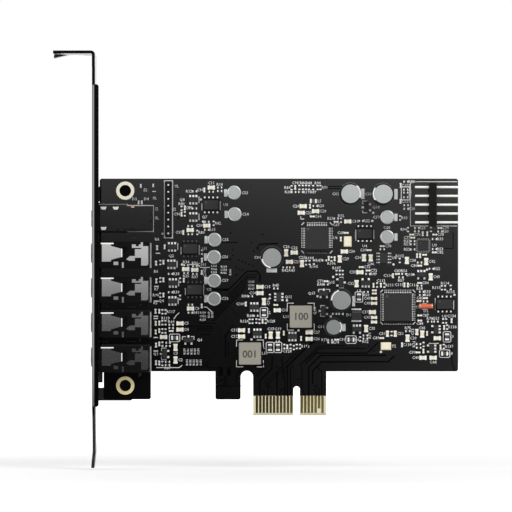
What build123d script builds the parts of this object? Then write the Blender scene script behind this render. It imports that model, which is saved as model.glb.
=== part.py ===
from build123d import *
import os

os.makedirs("parts", exist_ok=True)

# A half-height audio expansion card in a full-height slot bracket, in millimetres
# The origin is the middle of the connector's key notch, at its lower edge and halfway through the board
# +X runs from the bracket along the board, +Z runs up and the parts face -Y

# Board
board_thickness = 1.57
board_left = -57.0
board_right = 46.75
board_top = 68.6
board_bottom = 12.8
board_corner = 0.45
leg_left = -55.85
leg_right = -42.2
leg_bottom = 4.7
hook_left = -23.5
hook_right = -16.2
hook_bottom = 4.66
foot_corner = 0.4

# Edge connector
key_width = 1.9
key_height = 8.5
long_tab = 11.65
short_tab = 7.65
slot_height = 13.0
bevel_height = 0.75
bevel_depth = 0.4
contact_pitch = 1.0
contact_width = 0.7
contact_thickness = 0.05
contact_top = 5.7
contact_bottom = 0.78
contact_short_bottom = 2.1
contacts_before_key = 11
contacts_after_key = 7
key_to_contact = 1.5

# Bracket
sheet = 0.86
bend_inner = 0.3
bracket_face = -58.85
bracket_width = 18.42
bracket_height = 120.02
bracket_top = 105.18
board_to_lip = 1.75
near_lip_depth = 1.95
far_lip_depth = 1.4
lip_corner = 0.75
lip_top = 95.5
lip_bottom = 2.9
deep_lip = 2.6
deep_lip_top = 61.7
deep_lip_bottom = 9.5
top_tab_length = 11.15
tab_shoulder = 4.5
notch_width = 4.42
notch_depth = 5.4
notch_from_face = 4.95
wing_length = 3.9
wing_drop = 0.9
wing_gap = 0.3
tongue_width = 10.19
tongue_margin = 3.6
tongue_taper = 3.0
tongue_kink = 13.0
tongue_joggle = 0.12
tongue_lean = 0.35
tongue_chamfer = 2.0

# Screw joints between board and bracket
screw_x = -49.6
upper_screw_z = 65.1
lower_screw_z = 8.7
ear_right = -46.6
upper_ear_top = 68.2
upper_ear_bottom = 62.0
upper_neck_top = 66.3
upper_neck_bottom = 62.0
lower_ear_top = 11.8
lower_ear_bottom = 4.3
lower_neck_top = 8.05
lower_neck_bottom = 4.3
ear_left = -55.0
ear_corner = 1.4
relief_gap = 0.3
barrel_radius = 2.05
ring_radius = 2.65
ring_thickness = 0.12
barrel_bore_radius = 1.65
shank_clearance = 0.05
ear_hole_clearance = 0.25
screw_head_radius = 2.7
screw_head_height = 1.6
screw_sink = 0.4
driver_recess_radius = 1.15
driver_recess_depth = 0.8
driver_side_count = 6

# Audio jacks
jack_count = 4
jack_pitch = 10.0
first_jack_z = 47.1
jack_axis_height = 5.0
jack_height = 9.0
jack_right = -42.45
jack_up = 3.3
jack_down = 4.43
nose_radius = 2.9
nose_reach = 0.45
nose_clearance = 0.25
bore_radius = 1.8
bore_depth = 14.5
well_depth = 1.6
well_left = -50.6
well_right = -48.9
well_half = 1.5
contact_sheet = 0.3
leg_drop = 1.4
sleeve_left = -56.1
sleeve_shoulder = -53.5
sleeve_half = 2.5
sleeve_tip_half = 1.2
sleeve_notch = 0.5
sleeve_bar_left = -56.4
sleeve_bar_right = -52.75
sleeve_leg_thickness = 0.5
leaf_width = 0.45
tip_left = -46.6
tip_right = -42.75
tip_up = 1.07
tip_down = 1.39
bar_left = -44.8
bar_up = 1.94
bar_down = 3.65
bar_chamfer = 0.4
clip_left = -47.45
clip_right = -44.3
clip_low = 1.42
clip_high = 2.43
clip_notch_left = -46.35
clip_notch_right = -45.45
clip_notch_low = 1.9
clip_tab_left = -44.9
clip_tab_high = 3.05
tongue_tip_x = -49.15
tongue_tip_down = 1.82
tongue_top_x = -48.0
tongue_top_down = 0.9
tongue_foot_x = -48.3
tongue_foot_down = 2.26
side_block_left = -52.75
side_block_right = -51.4
side_block_low = 3.5
side_block_high = 2.55
side_hook_left = -50.35
side_hook_right = -49.8
side_hook_low = 4.3
side_hook_high = 2.7

# Optical port
optical_z = 57.05
optical_height = 6.4
optical_front_half = 4.05
optical_rear_half = 3.6
optical_waist = -48.95
optical_right = -41.4
optical_chamfer = 0.3
optical_nose_radius = 1.2
optical_nose_spacing = 2.42
optical_nose_reach = 0.45
optical_axis_height = 3.6
optical_tab_length = 1.8
optical_tab_width = 0.85
optical_tab_inset = 0.7
optical_tab_left = -56.6
optical_tab_step = 3.5

# Right-angle header with two rows of pins
pin_pitch = 2.54
pin_width = 0.64
header_column_count = 5
header_z = 61.0
header_left = 38.15
header_depth = 2.3
header_cell_corner = 0.35
header_pin_left = 34.5
header_pin_right = 46.6
header_low_row = 1.6
header_missing_column = 3

# Upright header with one row of pins
slim_pitch = 2.0
slim_pin_width = 0.5
slim_count = 8
slim_x = -37.1
slim_z = 59.7
slim_body_width = 2.0
slim_body_height = 2.0
slim_pin_height = 4.3

# Electrolytic capacitors: radius and height of three sizes, then the places
small_can = (2.0, 7.0)
medium_can = (2.5, 7.0)
large_can = (3.15, 7.7)
capacitors = [
    (-18.05, 64.45, small_can),
    (-17.9, 58.25, small_can),
    (-23.7, 50.9, small_can),
    (-23.85, 45.9, small_can),
    (-23.8, 39.1, small_can),
    (-23.8, 33.85, small_can),
    (26.1, 57.4, small_can),
    (26.1, 51.7, small_can),
    (10.65, 25.7, medium_can),
    (15.5, 64.15, large_can),
    (24.95, 64.1, large_can),
    (-7.15, 45.75, large_can),
    (12.9, 33.45, large_can),
]

# Packages with bent leads
chip_standoff = 0.1
lead_thickness = 0.15
codec_x = 5.9
codec_z = 51.45
codec_body = 7.0
codec_span = 9.0
codec_lead_count = 12
controller_x = 29.3
controller_z = 31.4
controller_body = 8.2
controller_span = 10.0
controller_lead_count = 16
flat_pack_pitch = 0.5
flat_pack_lead_width = 0.24
flat_pack_height = 1.4
amplifiers = [(-24.75, 61.0), (-30.8, 48.3), (-29.55, 36.45), (19.7, 52.7), (42.8, 32.3)]
amplifier_length = 4.9
amplifier_width = 3.9
amplifier_span = 6.0
amplifier_lead_count = 4
amplifier_pitch = 1.22
amplifier_lead_width = 0.42
amplifier_height = 1.55
converter_x = 25.25
converter_z = 45.65
converter_length = 3.5
converter_width = 2.4
converter_span = 4.2
converter_lead_count = 4
converter_pitch = 0.88
converter_lead_width = 0.36
converter_height = 1.0
receiver_x = 36.65
receiver_z = 49.25
receiver_size = 3.0
receiver_height = 0.85

# Small regulators and transistors: place, quarter turns, leads on the first side and on the other
three = (-1, 0, 1)
two = (-1, 1)
one = (0,)
regulator_length = 2.9
regulator_width = 1.5
regulator_span = 2.7
regulator_pitch = 0.9
regulator_lead_width = 0.42
regulator_height = 1.05
regulators = [
    (-29.9, 62.5, 0, three, three),
    (-29.9, 57.5, 0, three, three),
    (-36.05, 48.85, 0, three, three),
    (-36.25, 43.8, 0, three, three),
    (-35.8, 38.4, 0, three, three),
    (-35.95, 33.2, 0, three, three),
    (-12.25, 31.45, 0, three, three),
    (-11.35, 23.85, 0, three, three),
    (-1.2, 22.9, 0, three, three),
    (-5.15, 34.35, 1, three, three),
    (20.0, 38.45, 0, two, three),
    (17.45, 25.05, 0, three, two),
    (36.1, 40.8, 0, three, two),
    (40.35, 25.0, 1, two, three),
    (39.1, 19.4, 1, two, three),
    (12.85, 38.55, 1, two, one),
    (20.2, 60.3, 1, one, two),
    (-38.2, 17.85, 1, one, two),
    (7.75, 30.3, 1, one, two),
    (-31.3, 21.9, 0, one, two),
    (7.85, 35.4, 0, one, two),
]

# Two-ended parts: length, width and height, then the places of those lying along and standing upright
ceramic_size = (2.1, 1.25, 1.0)
ceramics_along = [
    (-24.7, 66.0), (-26.0, 55.0), (-30.8, 53.7), (-32.1, 42.4), (-29.45, 42.2), (-30.7, 31.0),
    (-33.75, 26.7), (-33.75, 24.9), (-38.5, 22.75), (1.9, 60.6), (1.35, 58.7), (5.5, 59.15),
    (14.8, 56.2), (-0.7, 47.2), (-2.1, 44.5), (-10.6, 37.25), (-10.6, 35.45), (-5.6, 30.5),
    (-15.95, 24.7), (-15.95, 22.9), (3.65, 24.1), (3.65, 22.2), (13.8, 47.5), (18.3, 41.5),
    (21.9, 29.95), (40.7, 22.4), (36.55, 16.75), (39.5, 16.75),
]
ceramics_upright = [
    (-3.05, 47.1), (1.55, 44.0), (-9.45, 33.0), (-7.5, 23.3), (-5.4, 23.3), (12.5, 45.35), (19.5, 45.7),
    (21.45, 45.65), (17.35, 38.2), (20.1, 25.2), (31.9, 44.9), (37.5, 44.6), (38.8, 40.15), (32.1, 22.4),
    (36.35, 23.6), (-35.05, 19.75), (-35.05, 16.1),
]
slim_ceramic_size = (1.8, 0.95, 0.8)
slim_ceramics_along = [(22.4, 33.9), (22.4, 32.5), (22.4, 28.4), (22.4, 27.1)]
slim_ceramics_upright = [(26.3, 23.7), (28.55, 23.7), (34.8, 24.2)]
jumper_size = (1.4, 0.65, 0.5)
jumpers_upright = [
    (-40.4, 48.6), (-40.7, 44.1), (-40.6, 39.0), (-40.85, 30.2), (-40.8, 26.7), (-40.8, 24.2),
    (-40.7, 20.4), (-40.7, 15.3),
]
bead_size = (2.0, 1.2, 0.9)
beads_along = [(15.75, 22.0), (42.85, 17.95), (-35.3, 22.5), (4.85, 62.1)]
beads_upright = [(-9.45, 29.8), (-7.7, 19.75), (-5.4, 19.75), (18.05, 34.35), (43.55, 22.8)]
crystal_size = (3.0, 2.25, 0.8)
crystals_along = [(25.85, 20.1)]
crystals_upright = [(14.8, 50.4)]

# Power inductors, moulded diode and glass diode
inductors = [(1.2, 28.65), (-13.5, 18.0)]
inductor_size = 6.4
inductor_height = 3.0
inductor_corner = 0.5
power_diode_x = 17.3
power_diode_z = 29.1
power_diode_width = 2.8
power_diode_length = 2.9
power_diode_height = 2.1
power_diode_reach = 0.45
power_diode_strap = 0.3
glass_diode_x = 37.45
glass_diode_z = 31.7
glass_diode_length = 4.0
glass_diode_radius = 0.7
glass_cap_length = 0.45
glass_cap_radius = 0.75

# Places worked out from the sizes above
front_y = -board_thickness / 2
board_front = Plane(origin=(0, front_y, 0), x_dir=(1, 0, 0), z_dir=(0, -1, 0))
board_back = board_front.offset(-board_thickness)
bend_outer = bend_inner + sheet
bracket_inner = bracket_face + sheet
ear_outer_y = board_thickness / 2 + sheet
far_face = ear_outer_y + board_to_lip
near_face = far_face - bracket_width
bracket_bottom = bracket_top - bracket_height
bracket_front = Plane(origin=(bracket_face, 0, 0), x_dir=(0, 1, 0), z_dir=(1, 0, 0))
bracket_side = Plane(origin=(0, far_face, 0), x_dir=(1, 0, 0), z_dir=(0, -1, 0))
tab_left = -key_width / 2 - long_tab
tab_right = key_width / 2 + short_tab
jack_places = [first_jack_z - number * jack_pitch for number in range(jack_count)]
jack_axis_y = front_y - jack_axis_height
jack_top = board_front.offset(jack_height)
optical_axis_y = front_y - optical_axis_height
optical_axes = [optical_z - optical_nose_spacing / 2, optical_z + optical_nose_spacing / 2]
screw_places = [(screw_x, upper_screw_z), (screw_x, lower_screw_z)]
header_rows = [header_low_row, header_low_row + pin_pitch]
header_height = header_low_row + pin_pitch * 3 / 2
across = Plane(origin=(header_left, front_y, 0), x_dir=(0, 0, 1), z_dir=(1, 0, 0))


def save(piece, name):
    """Label a finished piece and write it out."""
    piece.part.label = name
    export_step(piece.part, f"parts/{name}.step")


def sides(left, right, low, high, mode=Mode.ADD):
    """A rectangle in the current sketch, given by its four sides."""
    with Locations(((left + right) / 2, (low + high) / 2)):
        Rectangle(right - left, high - low, mode=mode)


def outline(*points):
    """A straight-sided face in the current sketch."""
    Polygon(*points, align=None)


def row(count):
    """Numbers of an evenly spaced row, centred on nought."""
    return [number - (count - 1) / 2 for number in range(count)]


def lead_planes(x, z, quarter, pitch, slots):
    """A plane across each lead of one row, with x outwards from the chip and y up off the board."""
    out_x, out_z = [(0, 1), (-1, 0), (0, -1), (1, 0)][quarter % 4]
    return [
        Plane(
            origin=(x + out_z * slot * pitch, front_y, z + out_x * slot * pitch),
            x_dir=(out_x, 0, out_z),
            z_dir=(out_z, 0, -out_x),
        )
        for slot in slots
    ]


def sloping_lead(body, span, height):
    """A fine lead's profile in the current sketch, sloping straight from the body's side to its toe."""
    level = chip_standoff + height / 2
    outline((body / 2, level), (span / 2, lead_thickness), (span / 2, 0), (body / 2, level - lead_thickness))


def two_ended(size, along, upright):
    """Rectangles in the current sketch for parts lying along the board and standing upright."""
    length, width, _ = size
    if along:
        with Locations(*along):
            Rectangle(length, width)
    if upright:
        with Locations(*upright):
            Rectangle(width, length)


# Board
with BuildPart() as circuit_board:
    with BuildSketch(board_front):
        sides(board_left, board_right, board_bottom, board_top)
        chamfer(vertices(), length=board_corner)
        sides(leg_left, leg_right, leg_bottom, board_top - board_corner)
        chamfer(vertices().group_by(Axis.Y)[0], length=foot_corner)
        sides(hook_left, hook_right, hook_bottom, board_top - board_corner)
        chamfer(vertices().group_by(Axis.Y)[0], length=foot_corner)
        sides(tab_left, tab_right, 0, board_top - board_corner)
        slot_radius = (tab_left - hook_right) / 2
        sides(hook_right, tab_left, slot_height - slot_radius, board_top - board_corner)
        with Locations((hook_right + slot_radius, slot_height - slot_radius)):
            Circle(slot_radius, mode=Mode.SUBTRACT)
        sides(-key_width / 2, key_width / 2, 0, key_height - key_width / 2, mode=Mode.SUBTRACT)
        with Locations((0, key_height - key_width / 2)):
            Circle(key_width / 2, mode=Mode.SUBTRACT)
        with Locations(*screw_places):
            Circle(barrel_radius, mode=Mode.SUBTRACT)
    extrude(amount=-board_thickness)
    with BuildSketch(Plane(origin=(tab_left, 0, 0), x_dir=(0, 1, 0), z_dir=(1, 0, 0))):
        for side in (-1, 1):
            outline(
                (side * board_thickness / 2, 0),
                (side * board_thickness / 2, bevel_height),
                (side * (board_thickness / 2 - bevel_depth), 0),
            )
    extrude(amount=tab_right - tab_left, mode=Mode.SUBTRACT)
save(circuit_board, "circuit_board")

# Contacts on both faces of the edge connector, with a short one that tells when the card is fully in
before_key = [-key_to_contact - contact_pitch * number for number in range(contacts_before_key)]
after_key = [key_to_contact + contact_pitch * number for number in range(contacts_after_key)]
with BuildPart() as edge_contacts:
    for face, grow, short in (
        (board_front, contact_thickness, after_key[-2]),
        (board_back, -contact_thickness, before_key[-1]),
    ):
        with BuildSketch(face):
            for place in before_key + after_key:
                low = contact_short_bottom if place == short else contact_bottom
                sides(place - contact_width / 2, place + contact_width / 2, low, contact_top)
        extrude(amount=grow)
save(edge_contacts, "edge_contacts")

# Bracket, folded from one sheet
near_lip_tip = bracket_face + near_lip_depth
far_lip_tip = bracket_face + far_lip_depth
neck_near = near_face + bend_outer
neck_far = far_face - bend_outer
tongue_near = near_face + tongue_margin
tongue_far = tongue_near + tongue_width
tab_end = bracket_face - top_tab_length
notch_x = bracket_face - notch_from_face
notch_floor = far_face - notch_depth
wing_crease = notch_x - notch_width / 2 - wing_gap
with BuildPart() as bracket:
    # Face with its two folded lips
    with BuildSketch(Plane.XY.offset(lip_bottom)):
        with BuildLine():
            outside = FilletPolyline(
                (near_lip_tip, near_face),
                (bracket_face, near_face),
                (bracket_face, far_face),
                (far_lip_tip, far_face),
                radius=bend_outer,
            )
            inside = FilletPolyline(
                (near_lip_tip, near_face + sheet),
                (bracket_inner, near_face + sheet),
                (bracket_inner, far_face - sheet),
                (far_lip_tip, far_face - sheet),
                radius=bend_inner,
            )
            Line(outside @ 0, inside @ 0)
            Line(outside @ 1, inside @ 1)
        make_face()
    extrude(amount=lip_top - lip_bottom)
    fillet(bracket.edges().filter_by(Axis.Y).group_by(Axis.X)[-1], radius=lip_corner)

    # Deeper middle of the lip behind the board
    with BuildSketch(bracket_side):
        sides(bracket_face + bend_outer, bracket_face + deep_lip, deep_lip_bottom, deep_lip_top)
    extrude(amount=sheet)

    # The lip is cut away where the ears fold out of the face
    with BuildSketch(bracket_front):
        sides(ear_outer_y, far_face, upper_neck_bottom - relief_gap, upper_neck_top + relief_gap)
        sides(ear_outer_y, far_face, lower_neck_bottom - relief_gap, deep_lip_bottom)
    extrude(amount=deep_lip, mode=Mode.SUBTRACT)
    for low, high in ((upper_neck_bottom, upper_neck_top), (lower_neck_bottom, lower_neck_top)):
        with BuildSketch(Plane.XY.offset(low)):
            sides(bracket_face, bracket_inner, ear_outer_y - bend_outer, ear_outer_y)
        extrude(amount=high - low, mode=Mode.SUBTRACT)
        with BuildSketch(Plane.XY.offset(low)):
            with BuildLine():
                outside = FilletPolyline(
                    (ear_left, ear_outer_y),
                    (bracket_face, ear_outer_y),
                    (bracket_face, ear_outer_y - 2 * bend_outer),
                    radius=bend_outer,
                )
                inside = FilletPolyline(
                    (ear_left, ear_outer_y - sheet),
                    (bracket_inner, ear_outer_y - sheet),
                    (bracket_inner, ear_outer_y - 2 * bend_outer),
                    radius=bend_inner,
                )
                Line(outside @ 0, inside @ 0)
                Line(outside @ 1, inside @ 1)
            make_face()
        extrude(amount=high - low)
    with BuildSketch(Plane(origin=(0, ear_outer_y, 0), x_dir=(1, 0, 0), z_dir=(0, -1, 0))):
        for low, high in ((upper_ear_bottom, upper_ear_top), (lower_ear_bottom, lower_ear_top)):
            sides(ear_left, ear_right, low, high)
        chamfer(vertices().group_by(Axis.X)[-1], length=ear_corner)
        with Locations(*screw_places):
            Circle(barrel_bore_radius + ear_hole_clearance, mode=Mode.SUBTRACT)
    extrude(amount=sheet)

    # Face above and below the lips
    with BuildSketch(bracket_front):
        sides(neck_near, neck_far, lip_top, bracket_top - tab_shoulder)
        outline(
            (neck_near, lip_bottom),
            (neck_far, lip_bottom),
            (tongue_far, lip_bottom - tongue_taper),
            (tongue_near, lip_bottom - tongue_taper),
        )
    extrude(amount=sheet)

    # Tongue, with the slight joggle that lets it slip behind the case
    with BuildSketch(bracket_side.offset(far_face - tongue_far)):
        outline(
            (bracket_face, lip_bottom - tongue_taper),
            (bracket_face + tongue_joggle, lip_bottom - tongue_kink),
            (bracket_face - tongue_lean, bracket_bottom),
            (bracket_inner - tongue_lean, bracket_bottom),
            (bracket_inner + tongue_joggle, lip_bottom - tongue_kink),
            (bracket_inner, lip_bottom - tongue_taper),
        )
    extrude(amount=tongue_width)
    with BuildSketch(bracket_front.offset(-tongue_lean)):
        for corner, inward in ((tongue_near, tongue_chamfer), (tongue_far, -tongue_chamfer)):
            outline(
                (corner, bracket_bottom),
                (corner, bracket_bottom + tongue_chamfer),
                (corner + inward, bracket_bottom),
            )
    extrude(amount=tongue_lean + tongue_joggle + sheet, mode=Mode.SUBTRACT)

    # Top tab with its screw notch, and the corner beyond the notch bent down
    with BuildSketch(bracket_side):
        with BuildLine():
            over = FilletPolyline(
                (bracket_inner, bracket_top - tab_shoulder),
                (bracket_inner, bracket_top),
                (tab_end, bracket_top),
                radius=bend_outer,
            )
            under = FilletPolyline(
                (bracket_face, bracket_top - tab_shoulder),
                (bracket_face, bracket_top - sheet),
                (tab_end, bracket_top - sheet),
                radius=bend_inner,
            )
            Line(over @ 0, under @ 0)
            Line(over @ 1, under @ 1)
        make_face()
    extrude(amount=bracket_width)
    with BuildSketch(Plane.XY.offset(bracket_top)):
        sides(notch_x - notch_width / 2, notch_x + notch_width / 2, notch_floor + notch_width / 2, far_face)
        with Locations((notch_x, notch_floor + notch_width / 2)):
            Circle(notch_width / 2)
        sides(tab_end, wing_crease, notch_floor, far_face)
    extrude(amount=-sheet, mode=Mode.SUBTRACT)
    with BuildSketch(bracket_side):
        outline(
            (wing_crease, bracket_top),
            (wing_crease - wing_length, bracket_top - wing_drop),
            (wing_crease - wing_length, bracket_top - wing_drop - sheet),
            (wing_crease, bracket_top - sheet),
        )
    extrude(amount=notch_depth)

    # Openings for the jacks and the optical port
    with BuildSketch(bracket_front):
        with Locations(*[(jack_axis_y, height) for height in jack_places]):
            Circle(nose_radius + nose_clearance)
        with Locations(*[(optical_axis_y, height) for height in optical_axes]):
            Circle(optical_nose_radius + nose_clearance)
    extrude(amount=sheet, mode=Mode.SUBTRACT)
save(bracket, "bracket")

# Plated threaded barrels in the board and the screws that hold the bracket's ears to them
with BuildPart() as threaded_barrels:
    with BuildSketch(board_front):
        with Locations(*screw_places):
            Circle(ring_radius)
            Circle(barrel_bore_radius, mode=Mode.SUBTRACT)
    extrude(amount=ring_thickness)
    with BuildSketch(board_front):
        with Locations(*screw_places):
            Circle(barrel_radius)
            Circle(barrel_bore_radius, mode=Mode.SUBTRACT)
    extrude(amount=-board_thickness)
save(threaded_barrels, "threaded_barrels")

with BuildPart() as bracket_screws:
    ear_back = Plane(origin=(0, ear_outer_y, 0), x_dir=(1, 0, 0), z_dir=(0, -1, 0))
    with BuildSketch(ear_back):
        with Locations(*screw_places):
            Circle(screw_head_radius)
    extrude(amount=-screw_head_height)
    with BuildSketch(ear_back):
        with Locations(*screw_places):
            Circle(barrel_bore_radius - shank_clearance)
    extrude(amount=sheet + board_thickness - screw_sink)
    with BuildSketch(ear_back.offset(-screw_head_height)):
        with Locations(*screw_places):
            RegularPolygon(driver_recess_radius, driver_side_count)
    extrude(amount=driver_recess_depth, mode=Mode.SUBTRACT)
save(bracket_screws, "bracket_screws")

# Audio jacks: a moulded housing, the sleeve contact over its front and the spring contacts behind
for number, z in enumerate(jack_places, start=1):
    with BuildPart() as jack_housing:
        with BuildSketch(board_front):
            sides(bracket_inner, jack_right, z - jack_down, z + jack_up)
        extrude(amount=jack_height)
        with BuildSketch(jack_top):
            sides(well_left, well_right, z - well_half, z + well_half)
        extrude(amount=-well_depth, mode=Mode.SUBTRACT)
        with BuildSketch(jack_top):
            sides(sleeve_bar_left, sleeve_bar_right, z + sleeve_half, z + sleeve_half + sleeve_leg_thickness)
            sides(sleeve_left, sleeve_shoulder, z - sleeve_half, z - sleeve_half + sleeve_leg_thickness)
        extrude(amount=-leg_drop, mode=Mode.SUBTRACT)
        nose_base = Plane(origin=(bracket_inner, jack_axis_y, z), x_dir=(0, 1, 0), z_dir=(-1, 0, 0))
        with BuildSketch(nose_base):
            Circle(nose_radius)
        extrude(amount=sheet + nose_reach)
        with BuildSketch(nose_base.offset(sheet + nose_reach)):
            Circle(bore_radius)
        extrude(amount=-bore_depth, mode=Mode.SUBTRACT)
    save(jack_housing, f"jack_{number}_housing")

    with BuildPart() as sleeve_contact:
        with BuildSketch(jack_top):
            outline(
                (sleeve_left, z + sleeve_half),
                (sleeve_shoulder, z + sleeve_half),
                (sleeve_shoulder, z + sleeve_half - sleeve_notch),
                (well_left, z + sleeve_tip_half),
                (well_left, z - sleeve_tip_half),
                (sleeve_shoulder, z - sleeve_half + sleeve_notch),
                (sleeve_shoulder, z - sleeve_half),
                (sleeve_left, z - sleeve_half),
            )
        extrude(amount=contact_sheet)
        with BuildSketch(jack_top.offset(contact_sheet)):
            sides(sleeve_bar_left, sleeve_bar_right, z + sleeve_half, z + sleeve_half + sleeve_leg_thickness)
            sides(sleeve_left, sleeve_shoulder, z - sleeve_half, z - sleeve_half + sleeve_leg_thickness)
        extrude(amount=-leg_drop - contact_sheet)
        with BuildSketch(jack_top.offset(contact_sheet)):
            sides(well_left, well_left + leaf_width, z - sleeve_tip_half, z + sleeve_tip_half)
        extrude(amount=-leg_drop - contact_sheet)
    save(sleeve_contact, f"jack_{number}_sleeve_contact")

    with BuildPart() as spring_contacts:
        with BuildSketch(jack_top):
            sides(tip_left, tip_right, z - tip_down, z + tip_up)
            outline(
                (bar_left, z + bar_up),
                (tip_right, z + bar_up),
                (tip_right, z - bar_down + bar_chamfer),
                (tip_right - bar_chamfer, z - bar_down),
                (bar_left, z - bar_down),
            )
            outline(
                (tip_left, z - tongue_top_down),
                (tongue_top_x, z - tongue_top_down),
                (tongue_tip_x, z - tongue_tip_down),
                (tongue_foot_x, z - tongue_foot_down),
                (tip_left, z - tongue_foot_down),
            )
            sides(clip_left, clip_right, z + clip_low, z + clip_high)
            sides(clip_tab_left, clip_right, z + clip_low, z + clip_tab_high)
            sides(clip_notch_left, clip_notch_right, z + clip_notch_low, z + clip_high, mode=Mode.SUBTRACT)
            sides(side_block_left, side_block_right, z - side_block_low, z - side_block_high)
            sides(side_hook_left, side_hook_right, z - side_hook_low, z - side_hook_high)
        extrude(amount=contact_sheet)
    save(spring_contacts, f"jack_{number}_spring_contacts")

# Optical port: a low moulded housing with two fixed noses, and its solder tabs
with BuildPart() as optical_port_housing:
    with BuildSketch(board_front):
        sides(bracket_inner, optical_waist, optical_z - optical_front_half, optical_z + optical_front_half)
        sides(optical_waist, optical_right, optical_z - optical_rear_half, optical_z + optical_rear_half)
    extrude(amount=optical_height)
    chamfer(optical_port_housing.faces().sort_by(Axis.Y)[0].edges(), length=optical_chamfer)
    with BuildSketch(Plane(origin=(bracket_inner, optical_axis_y, 0), x_dir=(0, 0, 1), z_dir=(-1, 0, 0))):
        with Locations(*[(height, 0) for height in optical_axes]):
            Circle(optical_nose_radius)
    extrude(amount=sheet + optical_nose_reach)
save(optical_port_housing, "optical_port_housing")

with BuildPart() as optical_port_tabs:
    with BuildSketch(board_front.offset(optical_height)):
        tab_high = optical_z + optical_front_half - optical_tab_inset
        tab_low = optical_z - optical_front_half + optical_tab_inset
        for left, low in (
            (optical_tab_left, tab_high - optical_tab_width),
            (optical_tab_left + optical_tab_step, tab_high - optical_tab_width),
            (optical_tab_left, tab_low),
        ):
            sides(left, left + optical_tab_length, low, low + optical_tab_width)
    extrude(amount=contact_sheet)
save(optical_port_tabs, "optical_port_tabs")

# Right-angle header
header_column_places = [header_z + slot * pin_pitch for slot in row(header_column_count)]
with BuildPart() as pin_header_body:
    with BuildSketch(board_front):
        for column_z in header_column_places:
            cell_right = header_left + header_depth
            cell_low = column_z - pin_pitch / 2
            cell_high = column_z + pin_pitch / 2
            outline(
                (header_left + header_cell_corner, cell_low),
                (cell_right - header_cell_corner, cell_low),
                (cell_right, cell_low + header_cell_corner),
                (cell_right, cell_high - header_cell_corner),
                (cell_right - header_cell_corner, cell_high),
                (header_left + header_cell_corner, cell_high),
                (header_left, cell_high - header_cell_corner),
                (header_left, cell_low + header_cell_corner),
            )
    extrude(amount=header_height)
    with BuildSketch(across):
        with Locations(*[(column_z, level) for column_z in header_column_places for level in header_rows]):
            Rectangle(pin_width, pin_width)
    extrude(amount=header_depth, mode=Mode.SUBTRACT)
save(pin_header_body, "pin_header_body")

with BuildPart() as pin_header_pins:
    for rank, level in enumerate(header_rows):
        left = header_pin_left + (len(header_rows) - 1 - rank) * pin_pitch
        planes = [
            Plane(origin=(0, front_y, column_z), x_dir=(1, 0, 0), z_dir=(0, 0, -1))
            for column, column_z in enumerate(header_column_places)
            if rank > 0 or column != header_missing_column
        ]
        with BuildSketch(*planes):
            outline(
                (left - pin_width / 2, 0),
                (left + pin_width / 2, 0),
                (left + pin_width / 2, level - pin_width / 2),
                (header_pin_right, level - pin_width / 2),
                (header_pin_right, level + pin_width / 2),
                (left - pin_width / 2, level + pin_width / 2),
            )
        extrude(amount=pin_width / 2, both=True)
save(pin_header_pins, "pin_header_pins")

# Upright header
slim_pins = [(slim_x, slim_z + slot * slim_pitch) for slot in row(slim_count)]
with BuildPart() as slim_header_body:
    with BuildSketch(board_front):
        with Locations((slim_x, slim_z)):
            Rectangle(slim_body_width, slim_count * slim_pitch)
        with Locations(*slim_pins):
            Rectangle(slim_pin_width, slim_pin_width, mode=Mode.SUBTRACT)
    extrude(amount=slim_body_height)
save(slim_header_body, "slim_header_body")

with BuildPart() as slim_header_pins:
    with BuildSketch(board_front):
        with Locations(*slim_pins):
            Rectangle(slim_pin_width, slim_pin_width)
    extrude(amount=slim_pin_height)
save(slim_header_pins, "slim_header_pins")

# Electrolytic capacitors
for number, (x, z, (radius, height)) in enumerate(capacitors, start=1):
    with BuildPart() as capacitor:
        with BuildSketch(board_front):
            with Locations((x, z)):
                Circle(radius)
        extrude(amount=height)
    save(capacitor, f"capacitor_{number:02d}")

# Square chips with fine leads on four sides
for name, x, z, body, span, count in (
    ("codec_chip", codec_x, codec_z, codec_body, codec_span, codec_lead_count),
    ("controller_chip", controller_x, controller_z, controller_body, controller_span, controller_lead_count),
):
    with BuildPart() as chip:
        with BuildSketch(board_front.offset(chip_standoff)):
            with Locations((x, z)):
                Rectangle(body, body)
        extrude(amount=flat_pack_height)
    save(chip, name)
    with BuildPart() as leads:
        four_rows = [lead_planes(x, z, quarter, flat_pack_pitch, row(count)) for quarter in range(4)]
        with BuildSketch(*[plane for planes in four_rows for plane in planes]):
            sloping_lead(body, span, flat_pack_height)
        extrude(amount=flat_pack_lead_width / 2, both=True)
    save(leads, name.replace("chip", "leads"))

# Amplifiers with two rows of leads
with BuildPart() as amplifier_chips:
    with BuildSketch(board_front.offset(chip_standoff)):
        with Locations(*amplifiers):
            Rectangle(amplifier_length, amplifier_width)
    extrude(amount=amplifier_height)
save(amplifier_chips, "amplifier_chips")

with BuildPart() as amplifier_leads:
    slots = row(amplifier_lead_count)
    rows = [lead_planes(x, z, quarter, amplifier_pitch, slots) for x, z in amplifiers for quarter in (0, 2)]
    with BuildSketch(*[plane for planes in rows for plane in planes]):
        sloping_lead(amplifier_width, amplifier_span, amplifier_height)
    extrude(amount=amplifier_lead_width / 2, both=True)
save(amplifier_leads, "amplifier_leads")

# Converter with its leads left and right, and the leadless receiver
with BuildPart() as converter_chip:
    with BuildSketch(board_front.offset(chip_standoff)):
        with Locations((converter_x, converter_z)):
            Rectangle(converter_width, converter_length)
    extrude(amount=converter_height)
save(converter_chip, "converter_chip")

with BuildPart() as converter_leads:
    slots = row(converter_lead_count)
    rows = [lead_planes(converter_x, converter_z, quarter, converter_pitch, slots) for quarter in (1, 3)]
    with BuildSketch(*[plane for planes in rows for plane in planes]):
        sloping_lead(converter_width, converter_span, converter_height)
    extrude(amount=converter_lead_width / 2, both=True)
save(converter_leads, "converter_leads")

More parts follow.
